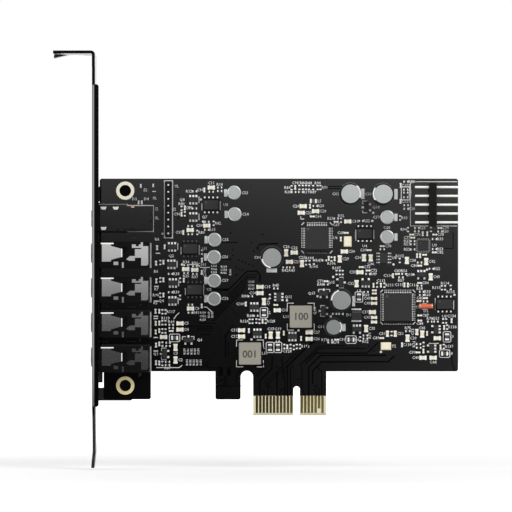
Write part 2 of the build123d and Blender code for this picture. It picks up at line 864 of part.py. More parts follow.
with BuildPart() as receiver_chip:
    with BuildSketch(board_front):
        with Locations((receiver_x, receiver_z)):
            Rectangle(receiver_size, receiver_size)
    extrude(amount=receiver_height)
save(receiver_chip, "receiver_chip")

# Small regulators and transistors
with BuildPart() as regulator_chips:
    with BuildSketch(board_front.offset(chip_standoff)):
        for x, z, turn, _, _ in regulators:
            with Locations((x, z)):
                Rectangle(regulator_length, regulator_width, rotation=90 * turn)
    extrude(amount=regulator_height)
save(regulator_chips, "regulator_chips")

with BuildPart() as regulator_leads:
    planes = []
    for x, z, turn, first_side, other_side in regulators:
        planes += lead_planes(x, z, turn, regulator_pitch, first_side)
        planes += lead_planes(x, z, turn + 2, regulator_pitch, other_side)
    with BuildSketch(*planes):
        sloping_lead(regulator_width, regulator_span, regulator_height)
    extrude(amount=regulator_lead_width / 2, both=True)
save(regulator_leads, "regulator_leads")

# Power inductors
with BuildPart() as power_inductors:
    with BuildSketch(board_front):
        with Locations(*inductors):
            Rectangle(inductor_size, inductor_size)
        chamfer(vertices(), length=inductor_corner)
    extrude(amount=inductor_height)
save(power_inductors, "power_inductors")

# Moulded power diode with a strap folded over each end
with BuildPart() as power_diode_body:
    with BuildSketch(board_front):
        with Locations((power_diode_x, power_diode_z)):
            Rectangle(power_diode_width, power_diode_length)
    extrude(amount=power_diode_height)
save(power_diode_body, "power_diode_body")

with BuildPart() as power_diode_straps:
    strap_middle = (power_diode_length + power_diode_reach) / 2
    with BuildSketch(board_front):
        with Locations(*[(power_diode_x, power_diode_z + end * strap_middle) for end in (-1, 1)]):
            Rectangle(power_diode_width, power_diode_reach)
    extrude(amount=power_diode_height / 2 + power_diode_strap)
save(power_diode_straps, "power_diode_straps")

# Glass diode with a metal cap on each end
diode_level = front_y - glass_cap_radius
diode_left = glass_diode_x - glass_diode_length / 2
diode_end = Plane(origin=(diode_left, diode_level, glass_diode_z), x_dir=(0, 1, 0), z_dir=(1, 0, 0))
with BuildPart() as glass_diode:
    with BuildSketch(diode_end.offset(glass_cap_length)):
        Circle(glass_diode_radius)
    extrude(amount=glass_diode_length - 2 * glass_cap_length)
save(glass_diode, "glass_diode")

with BuildPart() as glass_diode_caps:
    for start in (0, glass_diode_length - glass_cap_length):
        with BuildSketch(diode_end.offset(start)):
            Circle(glass_cap_radius)
        extrude(amount=glass_cap_length)
save(glass_diode_caps, "glass_diode_caps")

# Two-ended parts, each group with one height
with BuildPart() as ceramic_capacitors:
    with BuildSketch(board_front):
        two_ended(ceramic_size, ceramics_along, ceramics_upright)
    extrude(amount=ceramic_size[2])
save(ceramic_capacitors, "ceramic_capacitors")

with BuildPart() as slim_ceramics:
    with BuildSketch(board_front):
        two_ended(slim_ceramic_size, slim_ceramics_along, slim_ceramics_upright)
    extrude(amount=slim_ceramic_size[2])
save(slim_ceramics, "slim_ceramics")

with BuildPart() as jumper_chips:
    with BuildSketch(board_front):
        two_ended(jumper_size, [], jumpers_upright)
    extrude(amount=jumper_size[2])
save(jumper_chips, "jumper_chips")

with BuildPart() as ferrite_beads:
    with BuildSketch(board_front):
        two_ended(bead_size, beads_along, beads_upright)
    extrude(amount=bead_size[2])
save(ferrite_beads, "ferrite_beads")

with BuildPart() as crystals:
    with BuildSketch(board_front):
        two_ended(crystal_size, crystals_along, crystals_upright)
    extrude(amount=crystal_size[2])
save(crystals, "crystals")
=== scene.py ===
import math
from operator import attrgetter

import bmesh
import bpy
from bpy.props import FloatProperty, FloatVectorProperty, PointerProperty
from mathutils import Matrix, Vector


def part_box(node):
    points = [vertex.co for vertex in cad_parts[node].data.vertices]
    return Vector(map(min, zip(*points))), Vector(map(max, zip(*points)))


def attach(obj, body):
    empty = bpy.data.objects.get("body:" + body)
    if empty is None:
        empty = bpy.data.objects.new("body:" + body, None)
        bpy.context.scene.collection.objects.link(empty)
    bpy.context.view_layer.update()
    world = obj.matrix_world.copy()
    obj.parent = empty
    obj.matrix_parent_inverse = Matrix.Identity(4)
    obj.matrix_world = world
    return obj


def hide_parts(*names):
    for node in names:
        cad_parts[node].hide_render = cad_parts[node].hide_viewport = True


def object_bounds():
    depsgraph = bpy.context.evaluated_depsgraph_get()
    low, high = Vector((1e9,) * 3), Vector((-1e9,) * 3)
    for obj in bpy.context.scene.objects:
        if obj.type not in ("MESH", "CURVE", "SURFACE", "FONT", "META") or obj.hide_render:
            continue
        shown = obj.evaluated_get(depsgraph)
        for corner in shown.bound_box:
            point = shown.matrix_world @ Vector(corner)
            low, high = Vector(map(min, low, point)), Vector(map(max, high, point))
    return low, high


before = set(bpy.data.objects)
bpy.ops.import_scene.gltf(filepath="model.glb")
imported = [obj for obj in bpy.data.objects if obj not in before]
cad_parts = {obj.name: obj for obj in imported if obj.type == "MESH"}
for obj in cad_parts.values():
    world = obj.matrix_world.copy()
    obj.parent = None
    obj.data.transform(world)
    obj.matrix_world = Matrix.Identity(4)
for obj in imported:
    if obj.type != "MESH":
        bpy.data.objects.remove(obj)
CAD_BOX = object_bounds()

bl_info = {
    "name": "Audio expansion card",
    "version": (1, 0, 0),
    "blender": (4, 5, 0),
    "location": "View3D > Sidebar > Audio Card",
    "description": "Dresses an audio expansion card: board print, parts, finishes and a plain studio",
    "category": "Object",
}

# Meshes are built in millimetres and brought to metres when a piece is finished
MM = 0.001
TO_METRES = Matrix.Scale(MM, 4)
TO_MILLIMETRES = Matrix.Scale(1 / MM, 4)
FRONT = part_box("circuit_board")[0].y / MM
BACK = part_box("circuit_board")[1].y / MM
BOARD_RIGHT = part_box("circuit_board")[1].x / MM
JACKS = [f"jack_{number}_housing" for number in range(1, 5)]
# How far the jacks' noses stand out of the bracket, and where its outer face stands, in metres
NOSE_REACH = 0.45 * MM
BRACKET_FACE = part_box("jack_1_housing")[0].x + NOSE_REACH
CANS = sorted(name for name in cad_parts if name.startswith("capacitor_"))

# Points nearer than this are one point, in millimetres
NODE_MERGE = 0.0005
TURNED_MERGE = 0.001
LETTER_MERGE = 0.0002
# Faces that turn less than the first are one face, and edges that turn more than the second are sharp
PLANE_ANGLE = math.radians(1)
SHARP_ANGLE = math.radians(35)
# How many steps go round a can, a solder joint, a printed ring, dot and via, and a dimple
CAN_STEPS = 48
JOINT_STEPS = 16
RING_STEPS = 40
DOT_STEPS = 16
VIA_STEPS = 10
DIMPLE_STEPS = 20

# Smallest ceramic capacitors, by their middles across and up the board
SMALL_CERAMICS_UPRIGHT = [
    (-26.7, 65.3), (-32.35, 60.1), (-33.3, 58.3), (-32.8, 53.0), (-0.4, 66.05), (3.9, 60.6), (12.8, 51.1),
    (-27.4, 45.0), (-27.45, 41.45), (-32.65, 39.2), (-38.2, 48.85), (-38.55, 44.4), (-38.55, 39.3),
    (-38.55, 34.9), (-27.45, 31.75), (-14.7, 32.3), (9.3, 45.5), (11.0, 45.4), (22.25, 37.7), (24.4, 37.75),
    (27.9, 40.5), (31.2, 37.85), (32.2, 37.8), (34.85, 46.3), (35.75, 46.3), (36.5, 52.65), (37.8, 52.65),
    (30.05, 62.0), (30.1, 66.6), (-13.8, 24.6), (-8.95, 23.0), (-3.7, 23.9), (1.3, 22.35), (-9.85, 27.3),
    (-2.7, 19.9), (37.75, 23.8), (30.5, 20.5), (36.7, 18.7), (41.65, 19.9), (42.7, 25.5), (44.85, 27.5),
    (-39.75, 30.2), (-39.75, 26.8), (-39.75, 24.6), (-39.75, 20.75), (-39.75, 15.25),
]
SMALL_CERAMICS_ALONG = [
    (4.55, 57.65), (11.45, 56.1), (14.4, 52.9), (21.0, 47.9), (24.8, 49.05), (8.5, 38.9), (20.7, 42.0),
    (18.7, 43.0), (22.5, 36.25), (22.5, 35.35), (33.3, 52.4), (33.6, 51.5), (40.0, 52.4), (41.45, 54.3),
    (35.65, 43.4), (37.05, 46.55), (39.85, 47.25), (29.2, 41.0), (35.6, 38.4), (37.3, 34.0), (35.4, 33.15),
    (35.6, 29.0), (35.65, 27.5), (24.65, 22.45), (35.15, 18.3), (11.55, 22.0), (-36.3, 24.5), (-6.0, 32.05),
]
# Smallest chip resistors
SMALL_RESISTORS_ALONG = [
    (-24.7, 64.8), (-22.25, 66.0), (-22.25, 65.0), (-29.5, 64.9), (-29.55, 59.95), (-25.95, 56.1),
    (-26.0, 53.8), (-30.85, 54.85), (-30.8, 52.5), (-0.85, 64.7), (1.2, 64.7), (5.4, 60.7), (11.45, 57.05),
    (18.65, 56.35), (31.65, 67.7), (31.6, 65.4), (31.6, 64.55), (31.6, 63.2), (31.7, 60.9), (31.7, 59.85),
    (34.8, 54.3), (34.8, 53.35), (41.5, 53.3), (33.6, 50.5), (39.9, 51.1), (-32.0, 43.55), (-32.0, 41.25),
    (-29.45, 43.25), (-29.45, 41.0), (-36.5, 41.0), (-36.5, 35.7), (-30.75, 32.1), (-30.75, 29.8),
    (-3.35, 42.9), (-1.4, 42.9), (-13.35, 34.55), (-6.0, 36.8), (24.8, 48.15), (8.05, 44.9), (8.5, 37.95),
    (20.65, 41.0), (20.1, 35.8), (33.6, 49.6), (33.6, 48.1), (39.9, 48.2), (35.6, 44.3), (39.0, 42.5),
    (31.1, 41.0), (30.2, 40.0), (35.6, 37.6), (36.2, 35.85), (36.2, 34.9), (37.3, 33.05), (-37.2, 21.1),
    (-37.2, 20.15), (-36.3, 26.3), (-36.3, 25.35), (-37.35, 15.6), (-37.35, 14.65), (-11.8, 28.9),
    (11.0, 29.45), (12.85, 29.45), (19.9, 23.2), (19.9, 22.3), (9.7, 21.9), (9.7, 21.2), (32.2, 24.45),
    (35.3, 20.7), (35.35, 19.65), (38.55, 27.2), (40.35, 27.2),
]
SMALL_RESISTORS_UPRIGHT = [
    (-33.3, 60.0), (-32.35, 58.4), (-24.0, 55.65), (-28.75, 53.0), (-1.45, 65.95), (0.8, 66.05), (1.8, 66.05),
    (2.7, 66.05), (3.6, 66.0), (4.8, 66.0), (6.1, 66.0), (6.9, 66.0), (12.85, 56.55), (29.95, 57.2),
    (32.25, 53.85), (38.9, 53.9), (-39.45, 44.3), (-39.45, 39.3), (-39.5, 34.85), (-27.4, 47.3),
    (-33.75, 39.2), (-33.75, 34.2), (2.75, 44.25), (-7.75, 34.5), (3.75, 44.3), (5.0, 44.4), (10.1, 45.3),
    (11.55, 41.4), (12.5, 41.4), (13.35, 41.4), (23.3, 37.8), (25.4, 37.75), (29.85, 44.9), (42.0, 37.0),
    (42.95, 37.0), (44.6, 37.1), (-38.85, 30.05), (-37.95, 30.05), (-38.85, 26.9), (-37.95, 26.9),
    (-38.85, 24.5), (-37.95, 24.5), (-38.85, 20.7), (-38.85, 15.1), (-13.6, 27.3), (-12.75, 27.3),
    (-11.65, 27.4), (-10.75, 27.3), (-8.95, 27.3), (-3.55, 20.0), (-1.75, 20.0), (-0.8, 19.7), (0.05, 20.0),
    (1.0, 20.0), (18.4, 22.2), (27.5, 23.75), (36.75, 20.6), (42.6, 20.0), (43.55, 25.6), (42.4, 27.4),
    (43.3, 27.4),
]

# White print on the board: dots, lines and short bars
PRINT_DOTS = [
    (-27.7, 62.55), (-31.0, 60.25), (-27.05, 56.15), (22.2, 58.7), (21.9, 56.35), (28.05, 43.75),
    (45.7, 34.95), (10.6, 40.15), (6.05, 34.55), (-2.8, 33.35), (-14.95, 34.65), (-33.15, 43.75),
    (37.75, 42.25), (33.85, 40.85), (-13.05, 22.05), (0.55, 24.65), (9.9, 28.7), (24.4, 18.45),
    (-38.8, 52.65),
]
PRINT_LINES = [
    [(-31.1, 43.75), (-28.8, 43.7), (-27.75, 42.9), (-25.1, 42.9)],
    [(-40.6, 13.9), (-34.0, 13.9), (-33.1, 14.6)],
    [(-28.2, 46.6), (-28.2, 49.3)],
    [(-26.95, 35.2), (-26.95, 37.9)],
    [(17.15, 50.6), (17.15, 53.8)],
    [(40.15, 30.6), (40.15, 34.0)],
    [(1.2, 57.8), (1.2, 56.9), (2.2, 56.9)],
    [(36.3, 32.4), (37.75, 32.4)],
    [(36.3, 30.77), (37.75, 30.77)],
    [(-41.72, 64.88), (-40.7, 64.88)],
    [(20.44, 62.13), (19.16, 62.13), (19.16, 61.18)],
    [(19.16, 59.38), (19.16, 58.74), (20.44, 58.74)],
    [(12.36, 40.04), (13.55, 40.04), (13.55, 39.5)],
    [(12.36, 36.97), (13.55, 36.97), (13.55, 37.6)],
    [(6.37, 35.75), (6.37, 36.53), (7.38, 36.53)],
    [(8.42, 36.53), (9.61, 36.53), (9.61, 35.75)],
    [(8.25, 31.87), (6.98, 31.87), (6.98, 31.12)],
    [(6.98, 29.59), (6.98, 28.72), (8.25, 28.72)],
    [(38.24, 20.9), (41.17, 20.9)],
    [(-33.05, 21.93), (-33.05, 22.89), (-32.0, 22.89)],
    [(-30.6, 22.89), (-29.69, 22.89), (-29.69, 21.93)],
    [(-37.66, 19.54), (-39.13, 19.54), (-39.13, 18.59)],
    [(-39.13, 17.11), (-39.13, 16.18), (-37.66, 16.18)],
    [(-35.55, 27.96), (-34.83, 29.0), (-33.96, 29.8)],
    [(-26.87, 31.4), (-26.0, 31.4), (-24.58, 30.08)],
    [(-56.74, 49.13), (-56.74, 45.65)],
]
PRINT_BARS = [
    (-40.15, 47.0), (-40.6, 37.4), (-40.6, 33.15), (-40.75, 28.75), (-40.75, 28.1), (-40.75, 22.6),
    (-40.75, 18.7),
]
# Outline of the optical port's place, with the step that follows its flange
PORT_OUTLINE = [
    (-57.21, 61.06), (-49.1, 61.06), (-48.66, 60.79), (-41.46, 60.79), (-41.46, 53.3), (-48.95, 53.3),
]
# Dark patches painted as shade in the port's notches, and a contact end, on the port's face: middle, width,
# height and finish
PORT_NOTCH_SHADES = [
    (-42.1, 58.25, 0.45, 0.9, 0), (-42.1, 56.3, 0.45, 0.9, 0), (-51.6, 53.75, 0.9, 0.4, 0),
    (-49.5, 53.75, 0.95, 0.45, 0), (-47.45, 53.9, 1.35, 0.5, 0), (-47.3, 60.35, 1.0, 0.4, 1),
]
# Outlines round parts: left, right, low, high
PRINT_FRAMES = [
    (-38.25, -35.9, 51.45, 68.0), (30.3, 32.75, 62.45, 66.2),
]
# Loose part numbers: text, middle and turn
PRINT_MARKS = [
    ("S2", -43.77, 65.28, 0), ("D3", -46.9, 62.68, 0), ("D4", -43.48, 62.68, 0), ("J3", -41.11, 63.02, 90),
    ("S3", -40.47, 59.84, 90), ("J4", -40.47, 57.23, 90), ("J5", -34.8, 66.5, 90),
]
# Close blocks of smaller part numbers
BLOCK_MARKS = [
    ("R150", -32.42, 18.59, 90), ("R151", -31.4, 18.59, 90), ("R152", -30.4, 18.59, 90),
    ("R153", -29.4, 18.59, 90), ("C150", -28.4, 18.59, 90), ("R154", -31.7, 15.4, 90),
    ("R155", -30.72, 15.4, 90), ("R156", -29.74, 15.4, 90), ("R157", -28.76, 15.4, 90),
    ("C151", -27.7, 15.4, 90), ("R158", -27.16, 29.8, 0), ("C152", -27.16, 28.75, 0),
    ("R159", -27.16, 27.7, 0), ("R160", -25.4, 29.2, 90), ("C153", -24.4, 29.2, 90), ("R161", -23.9, 43.3, 0),
    ("R162", -23.9, 42.4, 0), ("R163", -23.9, 41.5, 0), ("R164", -21.1, 43.1, 0), ("C154", -21.1, 42.2, 0),
    ("R165", -21.1, 41.3, 0), ("R166", -19.2, 41.5, 90), ("C155", -13.1, 38.7, 0), ("C156", -13.1, 37.7, 0),
    ("R167", -13.1, 36.7, 0),
]
# Polarity marks beside the capacitors: middle, width, height
PRINT_PADS = [
    (-20.5, 64.45, 0.95, 2.1), (-20.35, 58.25, 0.95, 2.1), (-26.15, 50.9, 0.95, 2.1),
    (-26.35, 45.9, 0.95, 2.1), (-26.25, 39.1, 0.95, 2.1), (-26.25, 33.85, 0.95, 2.1), (28.75, 57.4, 0.9, 2.1),
    (28.75, 51.7, 0.9, 2.1), (19.15, 64.2, 1.0, 3.0), (28.75, 64.1, 1.0, 3.0), (-7.2, 42.05, 3.0, 1.15),
    (16.5, 33.15, 0.8, 3.0), (13.67, 25.5, 1.0, 2.1), (-45.74, 61.72, 0.46, 1.16),
    (-44.81, 61.72, 0.46, 1.16), (-45.1, 66.5, 0.43, 1.16), (-41.51, 66.64, 0.38, 0.93),
]
# Direction of the pale stripe on each large capacitor's sleeve, in degrees
STRIPE_TURNS = {
    "capacitor_10": 18, "capacitor_11": 180, "capacitor_12": 225, "capacitor_13": 140, "capacitor_09": 0,
}

# Copper runs that show through the mask: their widths and their corners
WIDE_RUN = 0.46
FINE_RUN = 0.32
WIDE_RUNS = [
    [(-10.71, 5.7), (-10.71, 10.05), (-7.18, 13.52), (-7.01, 16.99)],
    [(-5.67, 5.7), (-5.67, 12.8)],
    [(-2.66, 5.7), (-2.66, 14.21), (1.16, 18.04), (4.75, 21.63)],
    [(3.47, 5.7), (3.47, 13.98), (6.89, 17.4), (16.04, 17.46), (25.88, 17.46)],
    [(4.63, 9.18), (4.63, 12.94), (7.24, 15.55), (26.46, 15.6), (28.31, 17.28)],
    [(2.43, 14.97), (5.73, 18.09), (20.38, 18.09), (23.74, 21.34)],
    [(-20.55, 16.99), (-20.55, 23.3), (-19.4, 24.4)],
    [(-24.78, 36.56), (-19.45, 36.62), (-14.36, 41.77), (-11.58, 41.83), (-10.6, 40.79), (-10.6, 38.71)],
    [(-23.91, 36.45), (-19.63, 36.22)],
    [(-5.38, 49.82), (-10.6, 49.59), (-11.46, 48.55), (-10.94, 47.97)],
]
FINE_RUNS = [
    [(-9.38, 5.7), (-9.38, 7.01), (-9.84, 7.44)],
    [
        (-8.22, 5.7), (-8.4, 8.31), (-8.92, 9.61), (-3.65, 14.79), (-0.03, 18.27), (1.27, 19.43), (2.87, 20),
        (6.31, 21.8)],
    [(-7.7, 8.16), (-8.16, 9.24), (-2.49, 14.74), (1.91, 19.02)],
    [(-6.25, 13.81), (-5.67, 14.39), (-4.98, 13.81)],
    [(-4.02, 10.62), (-4.02, 14.39), (-4.34, 16.99)],
    [(-1.74, 5.99), (-1.74, 13.64), (-0.87, 14.56)],
    [(-3.42, 5.7), (-3.42, 13.23)],
    [(-4.86, 5.7), (-4.86, 6.86), (-4.17, 7.73), (-3.3, 7.9)],
    [(0, 10.57), (1.27, 10.57)],
    [
        (2.32, 5.7), (2.26, 6.46), (1.56, 7.56), (1.56, 13.11), (1.1, 14.79), (2.72, 16.41), (6.37, 20.06),
        (14.01, 20.29)],
    [(1.85, 15.43), (6.77, 19.48), (13.72, 19.51), (20.09, 19.51)],
    [(4.86, 8.6), (5.62, 8.48), (6.37, 7.79), (6.6, 6.57), (6.6, 5.7)],
    [(4.86, 7.73), (5.38, 7.56), (5.73, 6.86), (5.73, 5.7)],
    [(7.3, 5.7), (7.3, 12.65), (5.79, 14.16)],
    [(-23.22, 8.6), (-16.1, 8.6)],
    [(-20.9, 11.49), (-20.9, 8.6)],
    [(-20.27, 11.49), (-20.27, 8.6)],
    [(-22.29, 9.76), (-21.25, 10.8)],
    [(-17.37, 9.76), (-17.37, 11.96), (-16.1, 13.23)],
    [(-26.52, 15.14), (-25.53, 13.81), (-22.29, 13.81)],
    [(-12.16, 11.96), (-9.84, 13.98), (-9.44, 15.55)],
    [(-11.7, 11.38), (-9.61, 13.23), (-9.03, 14.39)],
    [(-19.74, 16.99), (-19.74, 21.34)],
    [(-24.26, 30.31), (-14.19, 40.73), (-11.35, 40.73)],
    [(-24.14, 29.64), (-14.07, 40.04), (-11.75, 40.04)],
    [(-24.03, 28.98), (-14.48, 38.76)],
    [(-23.91, 28.28), (-14.65, 37.72)],
    [(-24.78, 27.42), (-23.8, 27.65), (-14.76, 36.8)],
    [(-28.26, 26.72), (-23.33, 26.72)],
    [(-31.73, 25.85), (-24.2, 25.85)],
    [(-28.95, 25.3), (-23.74, 25.3)],
    [(-28.95, 24.69), (-24.32, 24.69)],
    [(-27.97, 23.45), (-25.07, 23.45)],
    [(-21.6, 45.25), (-18.7, 45.25)],
    [(-21.89, 50.11), (-16.96, 50.11)],
    [(-20.15, 23.83), (-18.99, 25.1)],
    [(-19.28, 25.1), (-18.12, 26.14)],
    [(8.51, 66.35), (14.01, 66.35)],
    [(8.51, 65.69), (13.43, 65.69)],
    [(42.7, 48.4), (45.3, 48.4), (45.3, 53.1)],
    [(44.87, 21.05), (44.99, 14.97), (45.57, 13.98), (45.57, 12.94)],
]
VIAS = [
    (-18.5, 48.1), (-18.4, 46.4), (-16.7, 45.0), (-15.7, 44.6), (-14.7, 44.3), (-13.7, 43.8), (-12.6, 43.4),
    (-17.4, 42.8), (-16.5, 42.4), (-15.6, 42.1), (-17.4, 40.8), (8.2, 17.4), (9.1, 17.4), (10.0, 17.4),
    (13.4, 18.3), (20.9, 20.1), (21.6, 19.4), (22.3, 18.7), (-9.8, 52.4), (-12.4, 47.6), (-19.2, 52.9),
    (-34.3, 63.8), (-34.3, 57.2), (-20.4, 28.4), (-21.8, 22.2), (-21.8, 20.1), (-28.4, 18.3), (-26.2, 15.2),
    (-20.3, 15.4), (5.9, 26.6), (6.6, 24.4), (23.9, 24.6), (-17.54, 40.79), (-21.08, 39.14), (-19.19, 31.27),
    (-18.47, 30.6), (-17.83, 29.88), (-17.17, 29.15), (-23.04, 26.11), (-22.55, 25.24), (-21.97, 24.52),
    (-24.35, 22.35), (-23.33, 22.35), (-22.32, 22.35), (-25.71, 19.89), (-24.93, 19.16), (-24.2, 18.35),
    (-22.47, 17.2), (-13.11, 50.05), (-21.77, 12.77), (-19.57, 12.77),
]
# Middles of the two bare pads above the hook
HOOK_PADS = (-21.9, -19.57)

# Noise in the finishes: detail of fine and broad mottling, size of a broad grain in fine ones, grain of plate
FINE_DETAIL = 4.0
BROAD_DETAIL = 2.0
BROAD_GRAIN = 14
PLATE_GRAIN = 0.3
# Where the board shows bare: in from its faces, from the tab's left side on, and up to the tab's top
CUT_EDGE = (0.004, 0.012)
TAB_LEFT = (-13.0, -12.9)
TAB_TOP = (5.70, 5.76)
# Painted highlight on the bracket's bend: where it lies across from its face, up its length and in from its
# nearest edge, and its two greys
HIGHLIGHT_BEND = ((0.02, 0.05), (0.62, 0.68))
HIGHLIGHT_LENGTH = ((3.0, 3.2), (95.2, 95.4))
HIGHLIGHT_DEPTH = (1.0, 1.2)
HIGHLIGHT_DARK = 0.066
HIGHLIGHT_LIGHT = 0.082
# From where on, in from its nearest edge, the bracket's coat shines
COAT_DEPTH = (2.5, 3.5)
# Colours of the lower and upper barrel rings; the lower one's yellower, darker colour is painted shade
LOWER_RING = (1.0, 0.89, 0.54)
UPPER_RING = (1.0, 0.95, 0.76)

# Height of the copper under the lacquer, and half the width and the ends of a bare pad above the hook
RUN_LIFT = 0.018
PAD_LIFT = 0.012
HOOK_PAD_HALF = 0.58
HOOK_PAD_LOW = 11.5
HOOK_PAD_HIGH = 14.1

# Letters: size of the font for a letter of one millimetre, how much the strokes are thickened, width of a
# letter in its heights, and the height of letters in close blocks in that of the others
LETTER_SCALE = 1.38
LETTER_BOLD = 0.012
LETTER_WIDTH = 0.62
BLOCK_LETTER = 0.72
NUMBER_GAP = 0.16
# Printed lines and dots
FRAME_LINE = 0.42
CAN_RING_LINE = 0.16
CAN_RING_GAP = 0.14
DOT_RADIUS = 0.34
BAR_WIDTH = 1.3
BAR_HEIGHT = 0.32
# The right-angle header's outline: its left side, and how far its other sides lie from the board's edge, over
# the body's top and over its foot
HEADER_FRAME_LEFT = 32.95
HEADER_FRAME_EDGE = 0.3
HEADER_FRAME_TOP = 0.35
HEADER_FRAME_FOOT = 0.25
BEAD_FRAME_GAP = 0.5
BEAD_FRAME_CORNER = 0.28
# Only beads below this height have a frame of their own
BEAD_FRAME_TOP = 60
# Marks at the square chips' corners: how near they start, and how far they reach
CHIP_CORNER = 0.2
CHIP_CORNER_LEGS = {"codec_chip": 1.0, "controller_chip": 0.95}
CHIP_LINE_GAP = 0.2
# How far inside an amplifier its two lines end: at their feet, and at the right and left top
CHIP_LINE_FOOT = 0.4
CHIP_LINE_RIGHT = 0.9
CHIP_LINE_LEFT = 1.5
# The regulators with a line stand left of the first and above the second
LINED_REGULATORS = (-25, 30)
INDUCTOR_CORNER_GAP = 0.7
INDUCTOR_CORNER_LEG = 1.9
JACK_LINE_GAP = 0.25
JACK_LINE_TOP = 0.4
JACK_LINE_FOOT = 0.1
FAINT_LINE_GAP = 1.05
FAINT_LINES = ((-57.0, -54.5), (-49.1, -46.4))
# The jacks' numbers: the first one, where they stand across and how far under each jack
FIRST_JACK_NUMBER = 6
JACK_NUMBER_X = -45.3
JACK_NUMBER_DROP = 0.8
# Left, right, low and high limits of the part numbers
NUMBER_FIELD = (-55, 46.2, 13.3, 68.2)
# Room kept round a chip with leads, round another part and round a part without a number
LEAD_ROOM = 1.1
PART_ROOM = 0.1
PLAIN_ROOM = 0.3
# Length and width of the room for one of the smallest chips
SMALL_LENGTH = 1.4
SMALL_WIDTH = 0.6

# Rolls of a jack's sleeve contact, and how near an edge has to be to be rolled
TOP_ROLL = 0.46
LEAF_ROLL = 0.40
ROLL_STEPS = 5
ON_EDGE = 0.01
# How far the port's painted notch shades stand out of its face and reach into it, and how narrow a tab's
# lower end is
NOTCH_SHADE_LIFT = 0.006
NOTCH_SHADE_DEPTH = 0.05
TAB_TAPER = 0.6
TAB_ROUND = 0.03

# Rounds of sharp edges, by node
EDGE_ROUNDS = {
    "bracket_screws": 0.12, "threaded_barrels": 0.03, "edge_contacts": 0.015, "pin_header_body": 0.08,
    "pin_header_pins": 0.1, "slim_header_body": 0.08, "slim_header_pins": 0.19, "power_diode_straps": 0.07,
    "glass_diode": 0.02, "glass_diode_caps": 0.14,
}

# Rims of the cans' tops: width of a bare can's, that of a sleeved one in its radii, how deep the tops lie,
# and how far in the bright part of each rim reaches, in rims
BARE_RIM = 0.3
SLEEVE_RIM = 0.14
BARE_SINK = 0.03
SLEEVE_SINK = 0.14
BARE_BRIGHT = 1.0
SLEEVE_BRIGHT = 0.25
# Half the angle of a sleeve's stripe
STRIPE_HALF = math.radians(38)
# A face that leans less than this from the viewer is a top, and chip edges sharper than this are rounded
TOP_LEAN = -0.9
CHIP_SHARP = 0.5
CHIP_ROUND = 0.05
# Draught of the moulded chips across and up, for the amplifiers and for the others
AMPLIFIER_DRAUGHT = (0.32, 0.55)
CHIP_DRAUGHT = (0.12, 0.12)
# First-pin dimples: largest radius, radius in chip widths, distance from the edges, depth and thickness
DIMPLE_RADIUS = 0.42
DIMPLE_SHARE = 0.07
DIMPLE_INSET = 0.4
DIMPLE_SINK = 0.02
DIMPLE_THICKNESS = 0.024
# Chips narrower than this have no dimple
DIMPLE_CHIP = 2
# Pads of the leadless chip: number and pitch on a side, half length, half width, height and reach
PAD_COUNT = 7
PAD_PITCH = 0.5
PAD_HALF = (0.4, 0.13)
PAD_HEIGHT = 0.06
PAD_REACH = 0.18
# Shoulder and heel of a lead, in its length, and how much wider than their solids the regulators' leads are
LEAD_BEND = (0.42, 0.82)
REGULATOR_BEND = (0.12, 0.5)
REGULATOR_LEAD_WIDTH = 1.3
# Finishes of each group's leads, at the shoulder, the slope and the foot: in the light, and in the shade. The
# darker lead finishes are painted shade, on lit leads too
LEAD_FINISHES = {
    "codec_leads": ("lead", "fine_lead", "lead", "dull_lead", "dull_lead", "fine_lead"),
    "controller_leads": ("lead", "dim_lead", "lead", "dull_lead", "dull_lead", "lead"),
    "converter_leads": ("lead", "fine_lead", "lead", "lead", "fine_lead", "lead"),
    "amplifier_leads": ("lead", "dull_lead", "dull_lead", "dim_lead", "dull_lead", "dull_lead"),
    "regulator_leads": ("lead", "lead", "lead", "lead", "lead", "lead"),
}
# The amplifiers' leads are in the shade left of the first and below the second
AMPLIFIER_SHADE = (-20, 55)

# Tinned ends: share of a chip's length, how much of it stands over the body, and rounds
CAP_SHARE = 0.27
CAP_SEEN = 0.8
CAP_ROUND = 0.09
SMALL_CAP = 0.42
SMALL_CAP_SEEN = 0.7
SMALL_CAP_ROUND = 0.07
# How far a chip's body stands back from its caps: on top and at its sides
BODY_DROP = 0.05
BODY_INSET = 0.1
BODY_ROUND = 0.05
SMALL_BODY_DROP = 0.03
SMALL_BODY_INSET = 0.06
# Length, height and width of the smallest chips
SMALL_CERAMIC = (1.36, 0.5, 0.56)
SMALL_RESISTOR = (1.5, 0.36, 0.58)
CRYSTAL_BASE = 0.45
CRYSTAL_SEAM = 0.16
CRYSTAL_BASE_ROUND = 0.08
CRYSTAL_LID_ROUND = 0.13

# Power inductors: terminals, the value on top and how it is turned on each, and the rounds of the case
TERMINAL_SHEET = 0.12
TERMINAL_HEIGHT = 1.0
TERMINAL_HALF = 1.5
TERMINAL_ROUND = 0.03
VALUE_HEIGHT = 2.1
VALUE_BOLD = 0.06
VALUE_TURNS = (180, 0)
CASE_CORNER = 0.28
CASE_TOP_ROUND = 0.22
# Edges that run farther than this along the line of sight are the case's corners
CORNER_EDGE = 0.5
# The power diode: round of its edges, how far its band stands out and reaches in, and where the band lies
DIODE_ROUND = 0.16
BAND_LIFT = 0.006
BAND_DEPTH = 0.05
BAND_FROM_TOP = (0.75, 0.35)

# A solder joint's radii and heights
JOINT_PROFILE = [
    (0.0, 0.0), (0.95, 0.0), (0.86, 0.06), (0.6, 0.22), (0.4, 0.55), (0.3, 0.85), (0.26, 1.05), (0.0, 1.1)]
JOINT_SMOOTH = math.radians(60)
# Where a header pin comes through, past its inner end, and a can's pins, in its widths
HEADER_PIN_REACH = 0.32
CAN_PIN_SPREAD = 0.3
# Where the pins of a jack come through: from its nose, and up or down in half its heights
JACK_PINS = ((4.2, 0.9), (4.2, -0.9), (11.0, -0.8), (14.2, 0.8), (14.2, -0.8))

